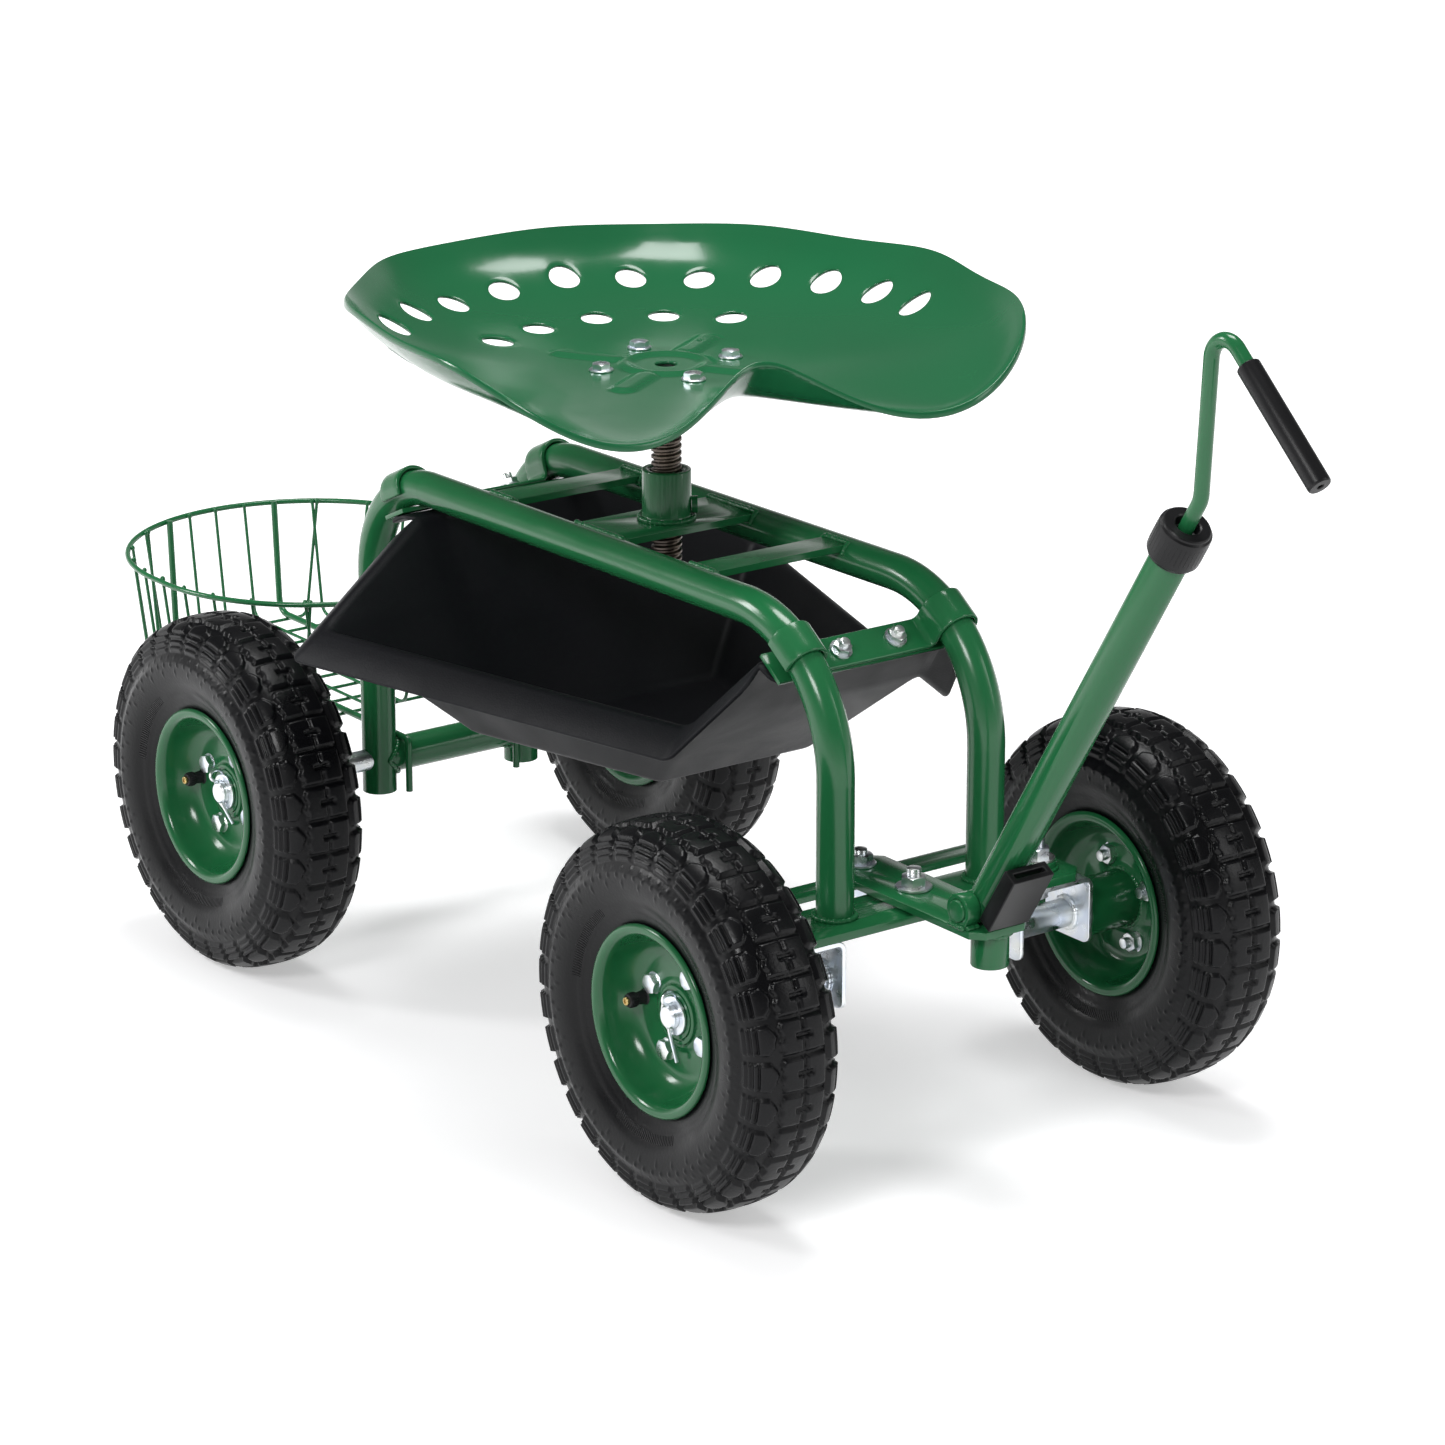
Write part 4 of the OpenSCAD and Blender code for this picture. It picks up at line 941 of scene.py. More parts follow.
class GARDENCART_OT_seat_post(bpy.types.Operator):
    """Threaded seat post with a helical thread"""
    bl_idname = "garden_cart.seat_post"
    bl_label = "Seat post"

    def execute(self, context):
        low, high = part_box("seat_screw")
        pitch = sizes().thread_pitch
        crest = (high.x - low.x) / 2 - 0.0001
        root = crest - 0.0017
        steps, per_pitch = 64, 14
        top = high.z - 0.0005
        smooth_from = high.z - 0.020
        count = int((top - low.z) / (pitch / per_pitch))
        rows = [circle(0.006, low.z, steps)]
        for i in range(count + 1):
            z = low.z + (top - low.z) * i / count
            ease = min(max((z - smooth_from) / 0.003, 0.0), 1.0)
            foot = 0.0016 * max(0.0, 1 - (z - low.z) / 0.002)
            row = []
            for k, a in enumerate(turns(steps)):
                phase = ((z - low.z) / pitch - k / steps) % 1.0
                swing = 0.5 - 0.5 * math.cos(2 * math.pi * phase)
                share = min(max((swing - 0.18) / 0.5, 0.0), 1.0)
                r = (root + (crest - root) * share) * (1 - ease) + crest * ease - foot
                row.append((r * math.cos(a), r * math.sin(a), z))
            rows.append(row)
        shape = Shape()
        shape.grid(rows, shift(POST_X, 0, 0), caps=True)
        shape.stand_for("seat_screw", "seat_post_thread", "screw_steel", crease=60)
        return {"FINISHED"}


# ---------------------------------------------------------------- tray
def bend_point(centre, radius, angle, out, along):
    """A point of the XZ plane beside a frame bend: out from the bend's centreline, along the tube."""
    a = math.radians(angle)
    return (centre[0] + math.sin(a) * (radius + out) + math.cos(a) * along,
            centre[1] + math.cos(a) * (radius + out) - math.sin(a) * along)


FRONT_ARC = (LEG_FRONT_X - FRONT_BEND, arch_z(LEG_FRONT_X - FRONT_BEND) - FRONT_BEND)
REAR_ARC = (LEG_REAR_X + REAR_BEND, ARCH_REAR_Z - REAR_BEND)
FRONT_STRAP, REAR_STRAP = 35, -25
STRAP_FLAT = -(TUBE_R + 0.0012)


def tray_sheet():
    """Corner points and panels of the tray's middle surface."""
    out = STRAP_FLAT - 0.00541
    f0, f1 = (bend_point(FRONT_ARC, FRONT_BEND, FRONT_STRAP, out, t) for t in (-0.0105, 0.011))
    r0, r1 = (bend_point(REAR_ARC, REAR_BEND, REAR_STRAP, out, t) for t in (0.011, -0.011))
    x = FRONT_X
    half = {
        "ff": (x - 0.200, 0.064, 0.208), "fr": (x - 0.366, 0.105, 0.208),
        "rim_f": (x - 0.118, 0.097, 0.276), "rim_r": (x - 0.429, 0.189, 0.284),
        "lip_f": (x - 0.114, 0.119, 0.256), "lip_r": (x - 0.434, 0.212, 0.263),
        "top_f": (f0[0], 0.079, f0[1]), "top_r": (x - 0.473, 0.081, 0.333),
        "edge_f": (f0[0] + 0.006, 0.095, f0[1] - 0.014), "edge_r": (x - 0.481, 0.095, 0.319),
        "flat_f": (f1[0], 0.079, f1[1]), "flat_r0": (r0[0], 0.079, r0[1]), "flat_r1": (r1[0], 0.079, r1[1]),
    }
    names = list(half)
    verts = [half[n] for n in names] + [(p[0], -p[1], p[2]) for p in (half[n] for n in names)]
    index = {n: (i + len(names), i) for i, n in enumerate(names)}
    both = [("ff", "fr"), ("ff", "rim_f"), ("rim_f", "top_f"), ("top_f", "flat_f"),
            ("rim_r", "top_r"), ("top_r", "flat_r0"), ("flat_r0", "flat_r1"), ("fr", "rim_r")]
    faces = [(index[a][0], index[b][0], index[b][1], index[a][1]) for a, b in both]
    for s in (0, 1):
        for loop in (("ff", "fr", "rim_r", "rim_f"), ("rim_f", "rim_r", "lip_r", "lip_f"),
                     ("rim_f", "top_f", "edge_f", "lip_f"), ("rim_r", "top_r", "edge_r", "lip_r")):
            face = tuple(index[n][s] for n in loop)
            faces.append(face if s else face[::-1])
    return verts, faces


class GARDENCART_OT_tray(bpy.types.Operator):
    """Moulded plastic tool tray with turned-down lips"""
    bl_idname = "garden_cart.tray"
    bl_label = "Tray"

    def execute(self, context):
        verts, faces = tray_sheet()
        mesh = bpy.data.meshes.new("tray_moulding")
        mesh.from_pydata(verts, [], faces)
        work = bmesh.new()
        work.from_mesh(mesh)
        bmesh.ops.recalc_face_normals(work, faces=work.faces)
        folds = [e for e in work.edges if len(e.link_faces) == 2]
        bmesh.ops.bevel(work, geom=folds, offset=sizes().fold_radius, segments=4, profile=0.5,
                        affect="EDGES", clamp_overlap=True)
        corners = [v for v in work.verts if v.is_boundary and len(v.link_edges) == 2]
        bmesh.ops.bevel(work, geom=corners, offset=0.009, segments=5, profile=0.5, affect="VERTICES",
                        clamp_overlap=True)
        work.to_mesh(mesh)
        work.free()
        mesh.shade_smooth()
        obj = mesh_piece("tray_moulding", mesh, "tray_plastic", BODY_OF["tray"], ("tray",))
        thicken(obj, 0.0030, 0.0).use_even_offset = True
        round_edges(obj, 0.0010, 2, 60)
        return {"FINISHED"}


# ---------------------------------------------------------------- frame: straps, welds and softened plates
def bend_place(centre, radius, angle):
    """Local x across the cart, y outward from a frame bend, z along the tube."""
    a = math.radians(angle)
    n0, n1 = math.sin(a), math.cos(a)
    return Matrix(((0, n0, n1, centre[0] + n0 * radius), (1, 0, 0, 0),
                   (0, n1, -n0, centre[1] + n1 * radius), (0, 0, 0, 1)))


STRAP_PLACES = (bend_place(FRONT_ARC, FRONT_BEND, FRONT_STRAP), bend_place(REAR_ARC, REAR_BEND, REAR_STRAP))


def soften(node, material, width=0.0008, segments=2):
    """A copy of a CAD part with its sharp edges rounded, standing for the part."""
    mesh = frame["nodes"][node].data.copy()
    mesh.name = node + "_soft"
    work = bmesh.new()
    work.from_mesh(mesh)
    bmesh.ops.remove_doubles(work, verts=work.verts, dist=0.00002)
    bmesh.ops.dissolve_limit(work, angle_limit=math.radians(1.0), verts=work.verts, edges=work.edges,
                             delimit={"NORMAL"})
    work.to_mesh(mesh)
    work.free()
    mesh.materials.clear()
    mesh.shade_smooth()
    obj = mesh_piece(node + "_soft", mesh, material, BODY_OF[node], (node,))
    round_edges(obj, width, segments, harden=True)


def strip(node, name, path, half_width, thickness, bevel, material, matrix, end_round=0.0):
    """A flat bar in the place of a CAD part, bent along a path in local XY; its width runs along local Z."""
    path = resample([Vector((p[0], p[1], 0)) for p in path], 0.0012)
    total = sum((b - a).length for a, b in zip(path, path[1:]))
    shape, gone = Shape(), 0.0
    rows = []
    for i, p in enumerate(path):
        if i:
            gone += (p - path[i - 1]).length
        near = min(gone, total - gone)
        w = half_width
        if near < end_round:
            w -= end_round - math.sqrt(max(end_round ** 2 - (end_round - near) ** 2, 0))
        rows.append([(p.x, p.y, w * t) for t in (-1, -0.5, 0, 0.5, 1)])
    shape.add([p for row in rows for p in row],
              [(a, a + 1, a + 6, a + 5) for i in range(len(rows) - 1) for a in range(5 * i, 5 * i + 4)])
    obj = shape.stand_for(node, name, material, matrix, crease=40)
    thicken(obj, thickness, 0.0)
    round_edges(obj, bevel, 3, 50)


def strap_path(rise):
    """Middle line of a strap: over one tube, down to the flat, and over the other tube."""
    r, y = TUBE_R + 0.0002 + rise, GAUGE_HALF
    flat = STRAP_FLAT + rise
    side = [(y + r, -0.004)] + [(y + r * math.cos(a), r * math.sin(a)) for a in turns(48)[:24]]
    down = [(y - r, 0.0), (y - r, flat), (-y + r, flat), (-y + r, 0.0)]
    dip = [tuple(p)[:2] for p in rounded_path([(*p, 0) for p in down], [0, 0.0055, 0.0055, 0], 0.001)]
    return side + dip + [(-px, py) for px, py in reversed(side)]


class GARDENCART_OT_clamps(bpy.types.Operator):
    """The two clamp straps that hold the tray under the frame bends, with their plates and bolts"""
    bl_idname = "garden_cart.clamps"
    bl_label = "Clamp straps"

    def execute(self, context):
        for name, place in zip(("front_strap", "rear_strap"), STRAP_PLACES):
            strip("clamp_straps", name, strap_path(0.0015), 0.0125, 0.0030, 0.0011, "frame_green", place)
        soften("clamp_plates", "frame_green")
        shape = Shape()
        top, low = STRAP_FLAT + 0.00305, STRAP_FLAT - 0.00767
        for place in STRAP_PLACES:
            for side in SIDES:
                spot = place @ shift(side * STRAP_BOLT_AT, 0, 0) @ spin(-90, "X")
                turn = spot @ Matrix.Rotation(0.35 * side, 4, "Z")
                shape.lathe([(AXIS, top), (0.0078, top), (0.0080, top + 0.0003), (0.0078, top + 0.0014),
                             (AXIS, top + 0.0014)], turn, 40)
                shape.six_sided(0.0066, top + 0.0014, top + 0.0056, turn)
                threaded_end(shape, turn, 0.0036, top + 0.0050, top + 0.0092)
                shape.lathe(plate(AXIS, 0.0072, low, low - 0.0012), turn, 40)
                shape.low_nut(0.0066, low - 0.0050, low - 0.0012, turn)
        shape.stand_for("clamp_bolts", "clamp_bolt_set")
        return {"FINISHED"}


def bar_weld(shape, x, half, seed):
    """Beads where a flat bar meets the two frame tubes: along its top edge and down both corners."""
    for side in SIDES:
        def on_tube(u, rise):
            reach = math.sqrt(max((TUBE_R + 0.0002) ** 2 - rise ** 2, 0))
            return (u, side * (GAUGE_HALF - reach), arch_z(u) + rise)
        before, after = x - half - 0.001, x + half + 0.001
        path = [on_tube(before, 0.0035), on_tube(before, 0.0085), on_tube(x - half, 0.0112)]
        path += [on_tube(x - half + 2 * half * k / 8, 0.0115) for k in range(9)]
        path += [on_tube(after, 0.0085), on_tube(after, 0.0035)]
        shape.weld(path, sizes().weld_radius, seed=seed + side)


def ring_weld(shape, x, y, z, ring, bead, seed):
    shape.weld([(x + u, y + v, z) for u, v, _ in circle(ring, 0, 72)], bead, seed=seed, closed=True)


class GARDENCART_OT_frame(bpy.types.Operator):
    """Enamelled frame: tubes, plates and bars with rounded edges and weld beads at each joint"""
    bl_idname = "garden_cart.frame"
    bl_label = "Frame"

    def execute(self, context):
        for node in ("seat_plate", "cross_bars", "front_beam", "seat_collar"):
            soften(node, "frame_green")
        for node in ("frame_tube_right", "frame_tube_left", "rear_cross_tube", "collar_ring"):
            repaint(node, "frame_green")
        bead = sizes().weld_radius
        shape = Shape()
        for x, half, seed in ((POST_X, 0.0275, 3), (POST_X + CROSS_BAR_AT, 0.0125, 13),
                              (POST_X - CROSS_BAR_AT, 0.0125, 23)):
            bar_weld(shape, x, half, seed)
        ring_weld(shape, POST_X, 0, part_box("seat_collar")[0].z + 0.0012, 0.0190, 0.0019, 31)
        for side in SIDES:
            ring_weld(shape, LEG_FRONT_X, side * GAUGE_HALF, BEAM_TOP + 0.0012, TUBE_R + 0.0010, bead,
                      41 + side)
            ring_weld(shape, FRONT_X, side * KING_Y, BEAM_TOP + 0.0008, 0.0144, 0.0014, 51 + side)
            saddle = [(LEG_REAR_X + (TUBE_R + 0.0004) * math.cos(t),
                       side * (GAUGE_HALF - (TUBE_R + 0.0006) * abs(math.sin(t)) - 0.0006),
                       WHEEL_Z + (TUBE_R + 0.0004) * math.sin(t)) for t in turns(72)]
            shape.weld(saddle, bead * 0.9, seed=61 + side, closed=True)
        shape.piece("frame_welds", "frame_green", "frame", crease=80)
        return {"FINISHED"}


# ---------------------------------------------------------------- steering and front wheels' brackets
def stacked_bolt(shape, place, washer, nut, bolt, base, nut_height, thread):
    """Washer, turned nut and threaded end above a face at height base."""
    foot = base + 0.0019
    shape.lathe([(AXIS, base), (washer - 0.0003, base), (washer, base + 0.0004), (washer, base + 0.0015),
                 (washer - 0.0004, foot), (AXIS, foot)], place, 48)
    shape.six_sided(nut, foot, foot + nut_height, place)
    threaded_end(shape, place, bolt, base + 0.0015 + nut_height, foot + nut_height + thread)


class GARDENCART_OT_steering(bpy.types.Operator):
    """Steering plate, king pins, pivot bolts, tie bar, boss and hitch socket with their welds"""
    bl_idname = "garden_cart.steering"
    bl_label = "Steering"

    def execute(self, context):
        for node in ("steer_plate", "tie_bar", "pivot_boss", "hitch_socket"):
            soften(node, "frame_green")
        soften("stop_block", "black_plastic", width=0.0011, segments=3)
        kings = Shape()
        for side in SIDES:
            place = spot_at(FRONT_X, side * KING_Y, 0, 0.5 + side)
            stacked_bolt(kings, place, 0.0130, 0.0095, 0.0060, BEAM_TOP + 0.00605, 0.0072, 0.0048)
            kings.lathe([(0.0061, 0.1553), (0.0116, 0.1553), (0.0120, 0.1557), (0.0120, 0.1575),
                         (0.0061, 0.1575)], place, 40)
            kings.low_nut(0.0095, 0.1473, 0.1553, place)
            threaded_end(kings, place, 0.0060, 0.1480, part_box("kingpins")[0].z)
        kings.stand_for("kingpins", "king_pin_set")
        pivot = Shape()
        place = spot_at(FRONT_X, 0, 0, 0.3)
        stacked_bolt(pivot, place, 0.0125, 0.0090, 0.0050, PLATE_TOP + 0.0003, 0.0070, 0.0052)
        pivot.low_nut(0.0090, 0.1559, 0.1619, place)
        pivot.lathe([(0.0051, BEAM_TOP + 0.0001), (0.0137, BEAM_TOP + 0.0001), (0.0140, BEAM_TOP + 0.0010),
                     (0.0137, BEAM_TOP + 0.0021), (0.0051, BEAM_TOP + 0.0021)], place, 40)
        pivot.stand_for("pivot_bolt", "pivot_bolt_set")
        tie = Shape()
        place = spot_at(TIE_X, 0, 0, 0.9)
        stacked_bolt(tie, place, 0.0110, 0.0088, 0.0050, PLATE_TOP + 0.0001, 0.0062, 0.0030)
        tie.low_nut(0.0090, 0.1548, 0.1618, place)
        tie.lathe([(0.0051, 0.1672), (0.0108, 0.1672), (0.0110, 0.1676), (0.0110, 0.1699), (0.0108, 0.1703),
                   (0.0051, 0.1703)], place, 40)
        tie.stand_for("tie_bolt", "tie_bolt_set")
        ends = Shape()
        for side in SIDES:
            place = spot_at(TIE_X, side * KING_Y, 0, 0.4 * side)
            ends.six_sided(0.0070, 0.1671, 0.1720, place)
            ends.low_nut(0.0070, 0.1515, 0.1575, place)
            threaded_end(ends, place, 0.0040, 0.1516, 0.1482)
        ends.stand_for("tie_end_bolts", "tie_end_bolt_set")
        self.welds()
        return {"FINISHED"}

    def welds(self):
        shape = Shape()
        z = PLATE_TOP + 0.0012
        for side in SIDES:
            y = side * CHEEK_Y
            for end in SIDES:
                ends = [(PIN.x + end * 0.0092, y + s * 0.0052, z) for s in SIDES]
                shape.weld(ends, 0.0020, seed=71 + side + end)
            flank = [(PIN.x + s * 0.0080, y + side * 0.0062, z) for s in SIDES]
            shape.weld(flank, 0.0018, seed=77 + side)
        ring_weld(shape, middle("hitch_socket").x, 0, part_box("hitch_socket")[1].z - 0.0008, TUBE_R + 0.0012,
                  0.0018, 83)
        shape.piece("steering_welds", "frame_green", BODY_OF["steer_plate"], crease=80)


class GARDENCART_OT_knuckles(bpy.types.Operator):
    """Zinc-plated wheel brackets: an inverted channel with a steering arm, and the welded stub axle"""
    bl_idname = "garden_cart.knuckles"
    bl_label = "Wheel brackets"

    def execute(self, context):
        for name, side in zip(("right", "left"), SIDES):
            node = "knuckle_" + name
            low, top, half = 0.1130, 0.1617 - 0.0019, 0.0315 - 0.00175
            corner = rounded_path([(-half, low, 0), (-half, top, 0), (half, top, 0), (half, low, 0)],
                                  [0, 0.0052, 0.0052, 0], 0.001)
            y = side * KING_Y
            place = Matrix(((0, 0, 1, FRONT_X), (1, 0, 0, y), (0, 1, 0, 0), (0, 0, 0, 1)))
            strip(node, node + "_channel", corner, 0.023, 0.0036, 0.0007, "zinc", place, 0.006)
            outline = [(TIE_X + 0.009 * math.cos(t), y + 0.009 * math.sin(t))
                       for t in (math.pi / 2 + math.pi * k / 16 for k in range(17))]
            outline += [(FRONT_X - 0.020, y - 0.009), (FRONT_X - 0.020, y + 0.009)]
            arm, count = Shape(), len(outline)
            arm.add([(u, v, z) for z in (0.15775, 0.16145) for u, v in outline],
                    [tuple(range(count))[::-1], tuple(range(count, 2 * count))]
                    + [(k, (k + 1) % count, (k + 1) % count + count, k + count) for k in range(count)])
            round_edges(arm.piece(node + "_arm", "zinc", BODY_OF[node]), 0.0006, 2)
            self.stub(name, side)
        return {"FINISHED"}

    def stub(self, name, side):
        turn = shift(FRONT_X, 0, WHEEL_Z) @ spin(-90 * side, "X")
        inner, outer, end = KING_Y - 0.0365, KING_Y + 0.0315, TRACK_HALF + AXLE_OUT
        shape = Shape()
        shape.lathe([(AXIS, inner), (0.0088, inner), (0.0100, inner + 0.0010), (0.0100, outer - 0.0006),
                     (0.0095, outer), (0.0080, outer), (0.0079, end - 0.0012), (0.0068, end), (AXIS, end)],
                    turn, 56)
        for k, (at, push) in enumerate(((KING_Y - 0.0315, -0.0004), (KING_Y - 0.0280, 0.0012),
                                        (KING_Y + 0.0280, -0.0012))):
            ring = [turn @ Vector(p) for p in circle(0.0106, at + push, 64)]
            shape.weld(ring, 0.0019, seed=91 + k + side, closed=True)
        shape.stand_for("spindle_" + name, "spindle_" + name + "_rod", crease=40)


# ---------------------------------------------------------------- handle
ROD_BEND_AT = 0.374
HANDLE_CAP = from_mm(
    (12.9, 325.2), (15.2, 325.2), (15.9, 325.8), (16.6, 327.6), (17.4, 328.4), (17.5, 329.2),
    (17.5, 348.6), (17.2, 350.0), (16.4, 350.6), (15.9, 351.0), (15.6, 352.2), (14.9, 352.9),
    (9.2, 352.9), (8.2, 352.2), (7.6, 350.4), (7.2, 346.0), (5.1, 345.4), (5.1, 337.0), (12.9, 336.8))
HANDLE_GRIP = from_mm(
    (5.1, 41.0), (6.9, 41.0), (7.5, 41.6), (7.7, 42.8), (7.7, 128.4), (7.5, 129.7), (6.9, 130.4),
    (2.6, 130.5), (2.1, 130.0), (2.0, 127.6), (5.1, 127.4))


class GARDENCART_OT_handle(bpy.types.Operator):
    """Steering handle: tube, pivot pin, black collar, sliding bent rod and grip"""
    bl_idname = "garden_cart.handle"
    bl_label = "Handle"

    def execute(self, context):
        soften("handle_tube", "frame_green", width=0.0006)
        soften("handle_pin", "frame_green", width=0.0012, segments=3)
        repaint("handle_rod", "frame_green")
        along = shift(PIN.x, 0, PIN.z) @ Matrix.Rotation(math.radians(90) - HANDLE_ANGLE, 4, "Y")
        cap = Shape()
        cap.lathe(HANDLE_CAP, steps=80, closed=True)
        for x, y, _ in circle(0.01745, 0, 36):
            cap.sweep([(x, y, z) for z in (0.3320, 0.3460)], 0.00022, steps=6)
        cap.stand_for("handle_collar", "handle_cap", "black_plastic", along, crease=28)
        self.grip()
        return {"FINISHED"}

    def grip(self):
        up_handle = Vector((math.cos(HANDLE_ANGLE), 0, math.sin(HANDLE_ANGLE)))
        top = Vector((PIN.x, 0, PIN.z)) + ROD_BEND_AT * up_handle + Vector((0.0075, 0, 0.1187))
        along = Vector((97.3, 0, -87.4)).normalized()
        across = Vector((0, 1, 0))
        place = Matrix((across.cross(along), across, along)).transposed().to_4x4()
        place.translation = top
        shape = Shape()
        shape.lathe(HANDLE_GRIP, place, steps=56, closed=True)
        shape.stand_for("handle_grip", "handle_grip_sleeve", "black_plastic", crease=35)


# ---------------------------------------------------------------- seat bracket and basket
class GARDENCART_OT_seat_bracket(bpy.types.Operator):
    """Black bracket under the seat, with rounded edges"""
    bl_idname = "garden_cart.seat_bracket"
    bl_label = "Seat bracket"

    def execute(self, context):
        soften("seat_bracket", "black_paint")
        return {"FINISHED"}


class GARDENCART_OT_basket(bpy.types.Operator):
    """Welded wire basket: enamelled wires with a weld nub where each rib meets the rim"""
    bl_idname = "garden_cart.basket"
    bl_label = "Basket"

    def execute(self, context):
        for node in ("basket_frame", "basket_wires"):
            repaint(node, "frame_green")
        centre = middle("basket_wires")
        rim_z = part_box("basket_frame")[1].z - 0.002
        rng = random.Random(5)
        shape = Shape()
        radius, straight, inset = 0.135, 0.010, 0.0033

        def nub(x, y):
            size = 0.0017 * rng.uniform(0.9, 1.2)
            profile = [(size * math.sin(t) * 1.05, size * 1.35 * -math.cos(t)) for t in
                       (math.pi * k / 8 for k in range(9))]
            profile[0], profile[-1] = (0.00001, profile[0][1]), (0.00001, profile[-1][1])
            shape.lathe(profile, shift(x, y, rim_z + 0.0004), 12)

        for k in (-3, -1, 0, 1, 3):
            y = 0.025 * k
            half = straight + math.sqrt((radius - inset) ** 2 - y * y)
            nub(centre.x + half, y)
            nub(centre.x - half, y)
        for k in range(-4, 5):
            x = 0.029 * k
            half = math.sqrt((radius - inset) ** 2 - max(abs(x) - straight, 0) ** 2)
            nub(centre.x + x, half)
            nub(centre.x + x, -half)
        shape.piece("basket_weld_nubs", "frame_green", BODY_OF["basket_wires"])
        return {"FINISHED"}


class GARDENCART_OT_rear_axle(bpy.types.Operator):
    """Plated rear axle"""
    bl_idname = "garden_cart.rear_axle"
    bl_label = "Rear axle"

    def execute(self, context):
        end = TRACK_HALF + AXLE_OUT
        shape = Shape()
        shape.lathe([(AXIS, -end), (0.0068, -end), (0.0079, -end + 0.0012), (0.00795, -end + 0.004),
                     (0.00795, end - 0.004), (0.0079, end - 0.0012), (0.0068, end), (AXIS, end)],
                    shift(LEG_REAR_X, 0, WHEEL_Z) @ spin(90, "X"), 48)
        shape.stand_for("rear_axle", "rear_axle_bar")
        return {"FINISHED"}


# ---------------------------------------------------------------- stage
WHITE = (1, 1, 1, 1)
CAMERA_PLACE, LOOK_DOWN, LOOK_ROUND, LENS = (2.85107, -2.0648, 1.37137), 18.06, 53.68, 132.42
# name, place, point aimed at, watts, width, height
SOFT_BOXES = (("soft_box_front", (1.6, -2.6, 2.4), (0.0, 0.0, 0.2), 44, 1.0, 0.7),
              ("soft_box_top", (-0.3, 0.3, 2.8), (0.0, 0.0, 0.2), 40, 1.2, 0.9),
              ("soft_box_left", (-2.0, -2.2, 1.7), (0.0, 0.0, 0.25), 34, 0.5, 1.2),
              ("soft_box_right", (2.6, 1.6, 1.6), (0.0, 0.0, 0.3), 12, 0.7, 1.6))


def any_of(build, path, *kinds):
    """1 for a ray of one of the kinds, as the light path node names them."""
    seen = path.outputs[kinds[0]]
    for kind in kinds[1:]:
        seen = build.math("MAXIMUM", seen, path.outputs[kind])
    return seen


def stage_sheet():
    """Floor paper that turns white with distance for rays that see it directly or in a reflection."""
    material = bpy.data.materials.new("studio_floor")
    material.use_nodes = True
    build = Nodes(material.node_tree)
    path = build.add("ShaderNodeLightPath")
    seen = any_of(build, path, "Is Camera Ray", "Is Glossy Ray", "Is Transmission Ray")
    far = build.add("ShaderNodeVectorMath", {0: build.place()}, operation="LENGTH").outputs["Value"]
    away = build.spread(far, 0.75, 1.9, 0.0, 1.0)
    paper = build.add("ShaderNodeBsdfDiffuse", {"Color": (0.80, 0.80, 0.81, 1)})
    lift = build.math("MULTIPLY", seen, build.math("MULTIPLY_ADD", away, 0.45, 0.42))
    glow = build.add("ShaderNodeEmission", {"Color": WHITE, "Strength": lift})
    both = build.add("ShaderNodeAddShader", {0: paper.outputs[0], 1: glow.outputs[0]})
    build.add("ShaderNodeOutputMaterial", {"Surface": both.outputs[0]})
    return material


def studio_world():
    """White to the camera, a room that darkens upward in reflections, and an even fill for the rest."""
    world = bpy.data.worlds.new("studio")
    world.use_nodes = True
    build = Nodes(world.node_tree)
    path = build.add("ShaderNodeLightPath")
    direction = build.add("ShaderNodeTexCoord").outputs["Generated"]
    upward = build.add("ShaderNodeSeparateXYZ", {"Vector": direction})
    ceiling = build.spread(upward.outputs["Z"], 0.0, 0.30, 0.90, 0.10)
    plain, room, white = (build.add("ShaderNodeBackground", {"Color": WHITE, "Strength": s}).outputs[0]
                          for s in (0.40, ceiling, 1.0))
    mirrored = build.add("ShaderNodeMixShader", {0: path.outputs["Is Glossy Ray"], 1: plain, 2: room})
    straight = any_of(build, path, "Is Camera Ray", "Is Transmission Ray")
    mix = build.add("ShaderNodeMixShader", {0: straight, 1: mirrored.outputs[0], 2: white})
    build.add("ShaderNodeOutputWorld", {"Surface": mix.outputs[0]})
    return world


def stand(name, data, place):
    obj = bpy.data.objects.new(name, data)
    bpy.context.scene.collection.objects.link(obj)
    obj.location = place
    return obj


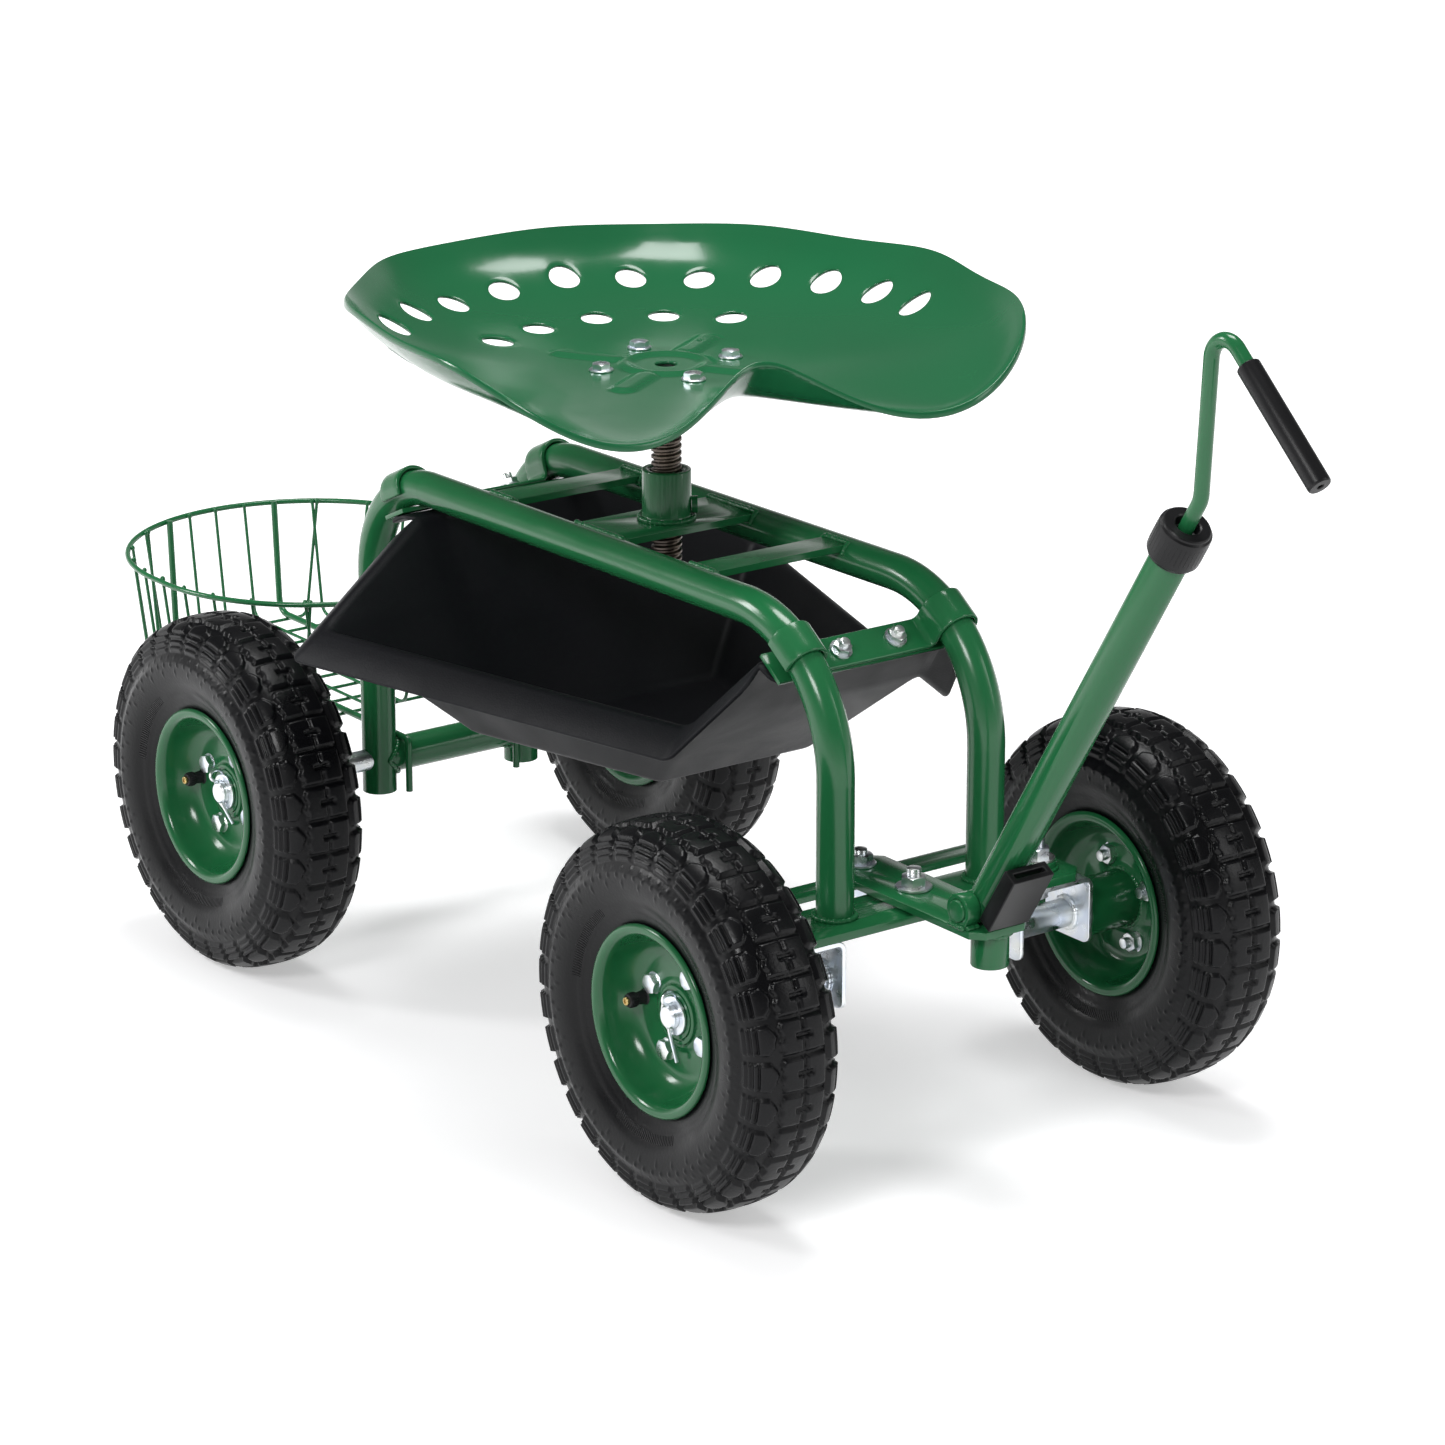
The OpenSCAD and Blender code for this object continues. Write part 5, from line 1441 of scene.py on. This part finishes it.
class GARDENCART_OT_stage(bpy.types.Operator):
    """White studio floor, soft boxes and the camera"""
    bl_idname = "garden_cart.stage"
    bl_label = "Studio"

    def execute(self, context):
        scene, half = context.scene, 6.0
        mesh = bpy.data.meshes.new("floor")
        mesh.from_pydata([(-half, -half, 0), (half, -half, 0), (half, half, 0), (-half, half, 0)], [],
                         [(0, 1, 2, 3)])
        mesh.materials.append(stage_sheet())
        floor = stand("floor", mesh, (0, 0, CAD_BOX[0][2] - 0.0003))
        scene.world = studio_world()
        for name, place, aim, power, width, height in SOFT_BOXES:
            light = bpy.data.lights.new(name, "AREA")
            light.shape, light.size, light.size_y, light.energy = "RECTANGLE", width, height, power
            turn = (Vector(aim) - Vector(place)).to_track_quat("-Z", "Y")
            stand(name, light, place).rotation_euler = turn.to_euler()
        camera = bpy.data.cameras.new("camera")
        camera.lens, camera.sensor_width, camera.clip_end = LENS, 36.0, 60
        view = stand("camera", camera, CAMERA_PLACE)
        view.rotation_euler = (math.radians(90 - LOOK_DOWN), 0, math.radians(LOOK_ROUND))
        scene.camera = view
        scene.view_settings.view_transform = "Standard"
        return {"FINISHED"}


# ---------------------------------------------------------------- panel and registration
OPERATORS = (GARDENCART_OT_stage, GARDENCART_OT_frame, GARDENCART_OT_clamps, GARDENCART_OT_tray,
             GARDENCART_OT_seat, GARDENCART_OT_seat_bracket, GARDENCART_OT_seat_post, GARDENCART_OT_tyres,
             GARDENCART_OT_rims, GARDENCART_OT_rear_axle, GARDENCART_OT_axle_ends, GARDENCART_OT_steering,
             GARDENCART_OT_knuckles, GARDENCART_OT_handle, GARDENCART_OT_basket)


class GARDENCART_PT_panel(bpy.types.Panel):
    """Buttons for each group of the cart's pieces"""
    bl_label = "Garden Cart"
    bl_idname = "GARDENCART_PT_panel"
    bl_space_type = "VIEW_3D"
    bl_region_type = "UI"
    bl_category = "Garden Cart"

    def draw(self, context):
        for settings in (context.scene.garden_cart_sizes, context.scene.garden_cart_finishes):
            column = self.layout.column()
            for name in settings.__annotations__:
                column.prop(settings, name)
        for operator in OPERATORS:
            self.layout.operator(operator.bl_idname)


CLASSES = (GardenCartSizes, GardenCartFinishes, *OPERATORS, GARDENCART_PT_panel)


def register():
    for cls in CLASSES:
        bpy.utils.register_class(cls)
    bpy.types.Scene.garden_cart_sizes = PointerProperty(type=GardenCartSizes)
    bpy.types.Scene.garden_cart_finishes = PointerProperty(type=GardenCartFinishes)


def unregister():
    del bpy.types.Scene.garden_cart_finishes
    del bpy.types.Scene.garden_cart_sizes
    for cls in reversed(CLASSES):
        bpy.utils.unregister_class(cls)


def main():
    register()
    make_materials()
    for operator in OPERATORS:
        area, name = operator.bl_idname.split(".")
        getattr(getattr(bpy.ops, area), name)()


if __name__ == "__main__":
    main()
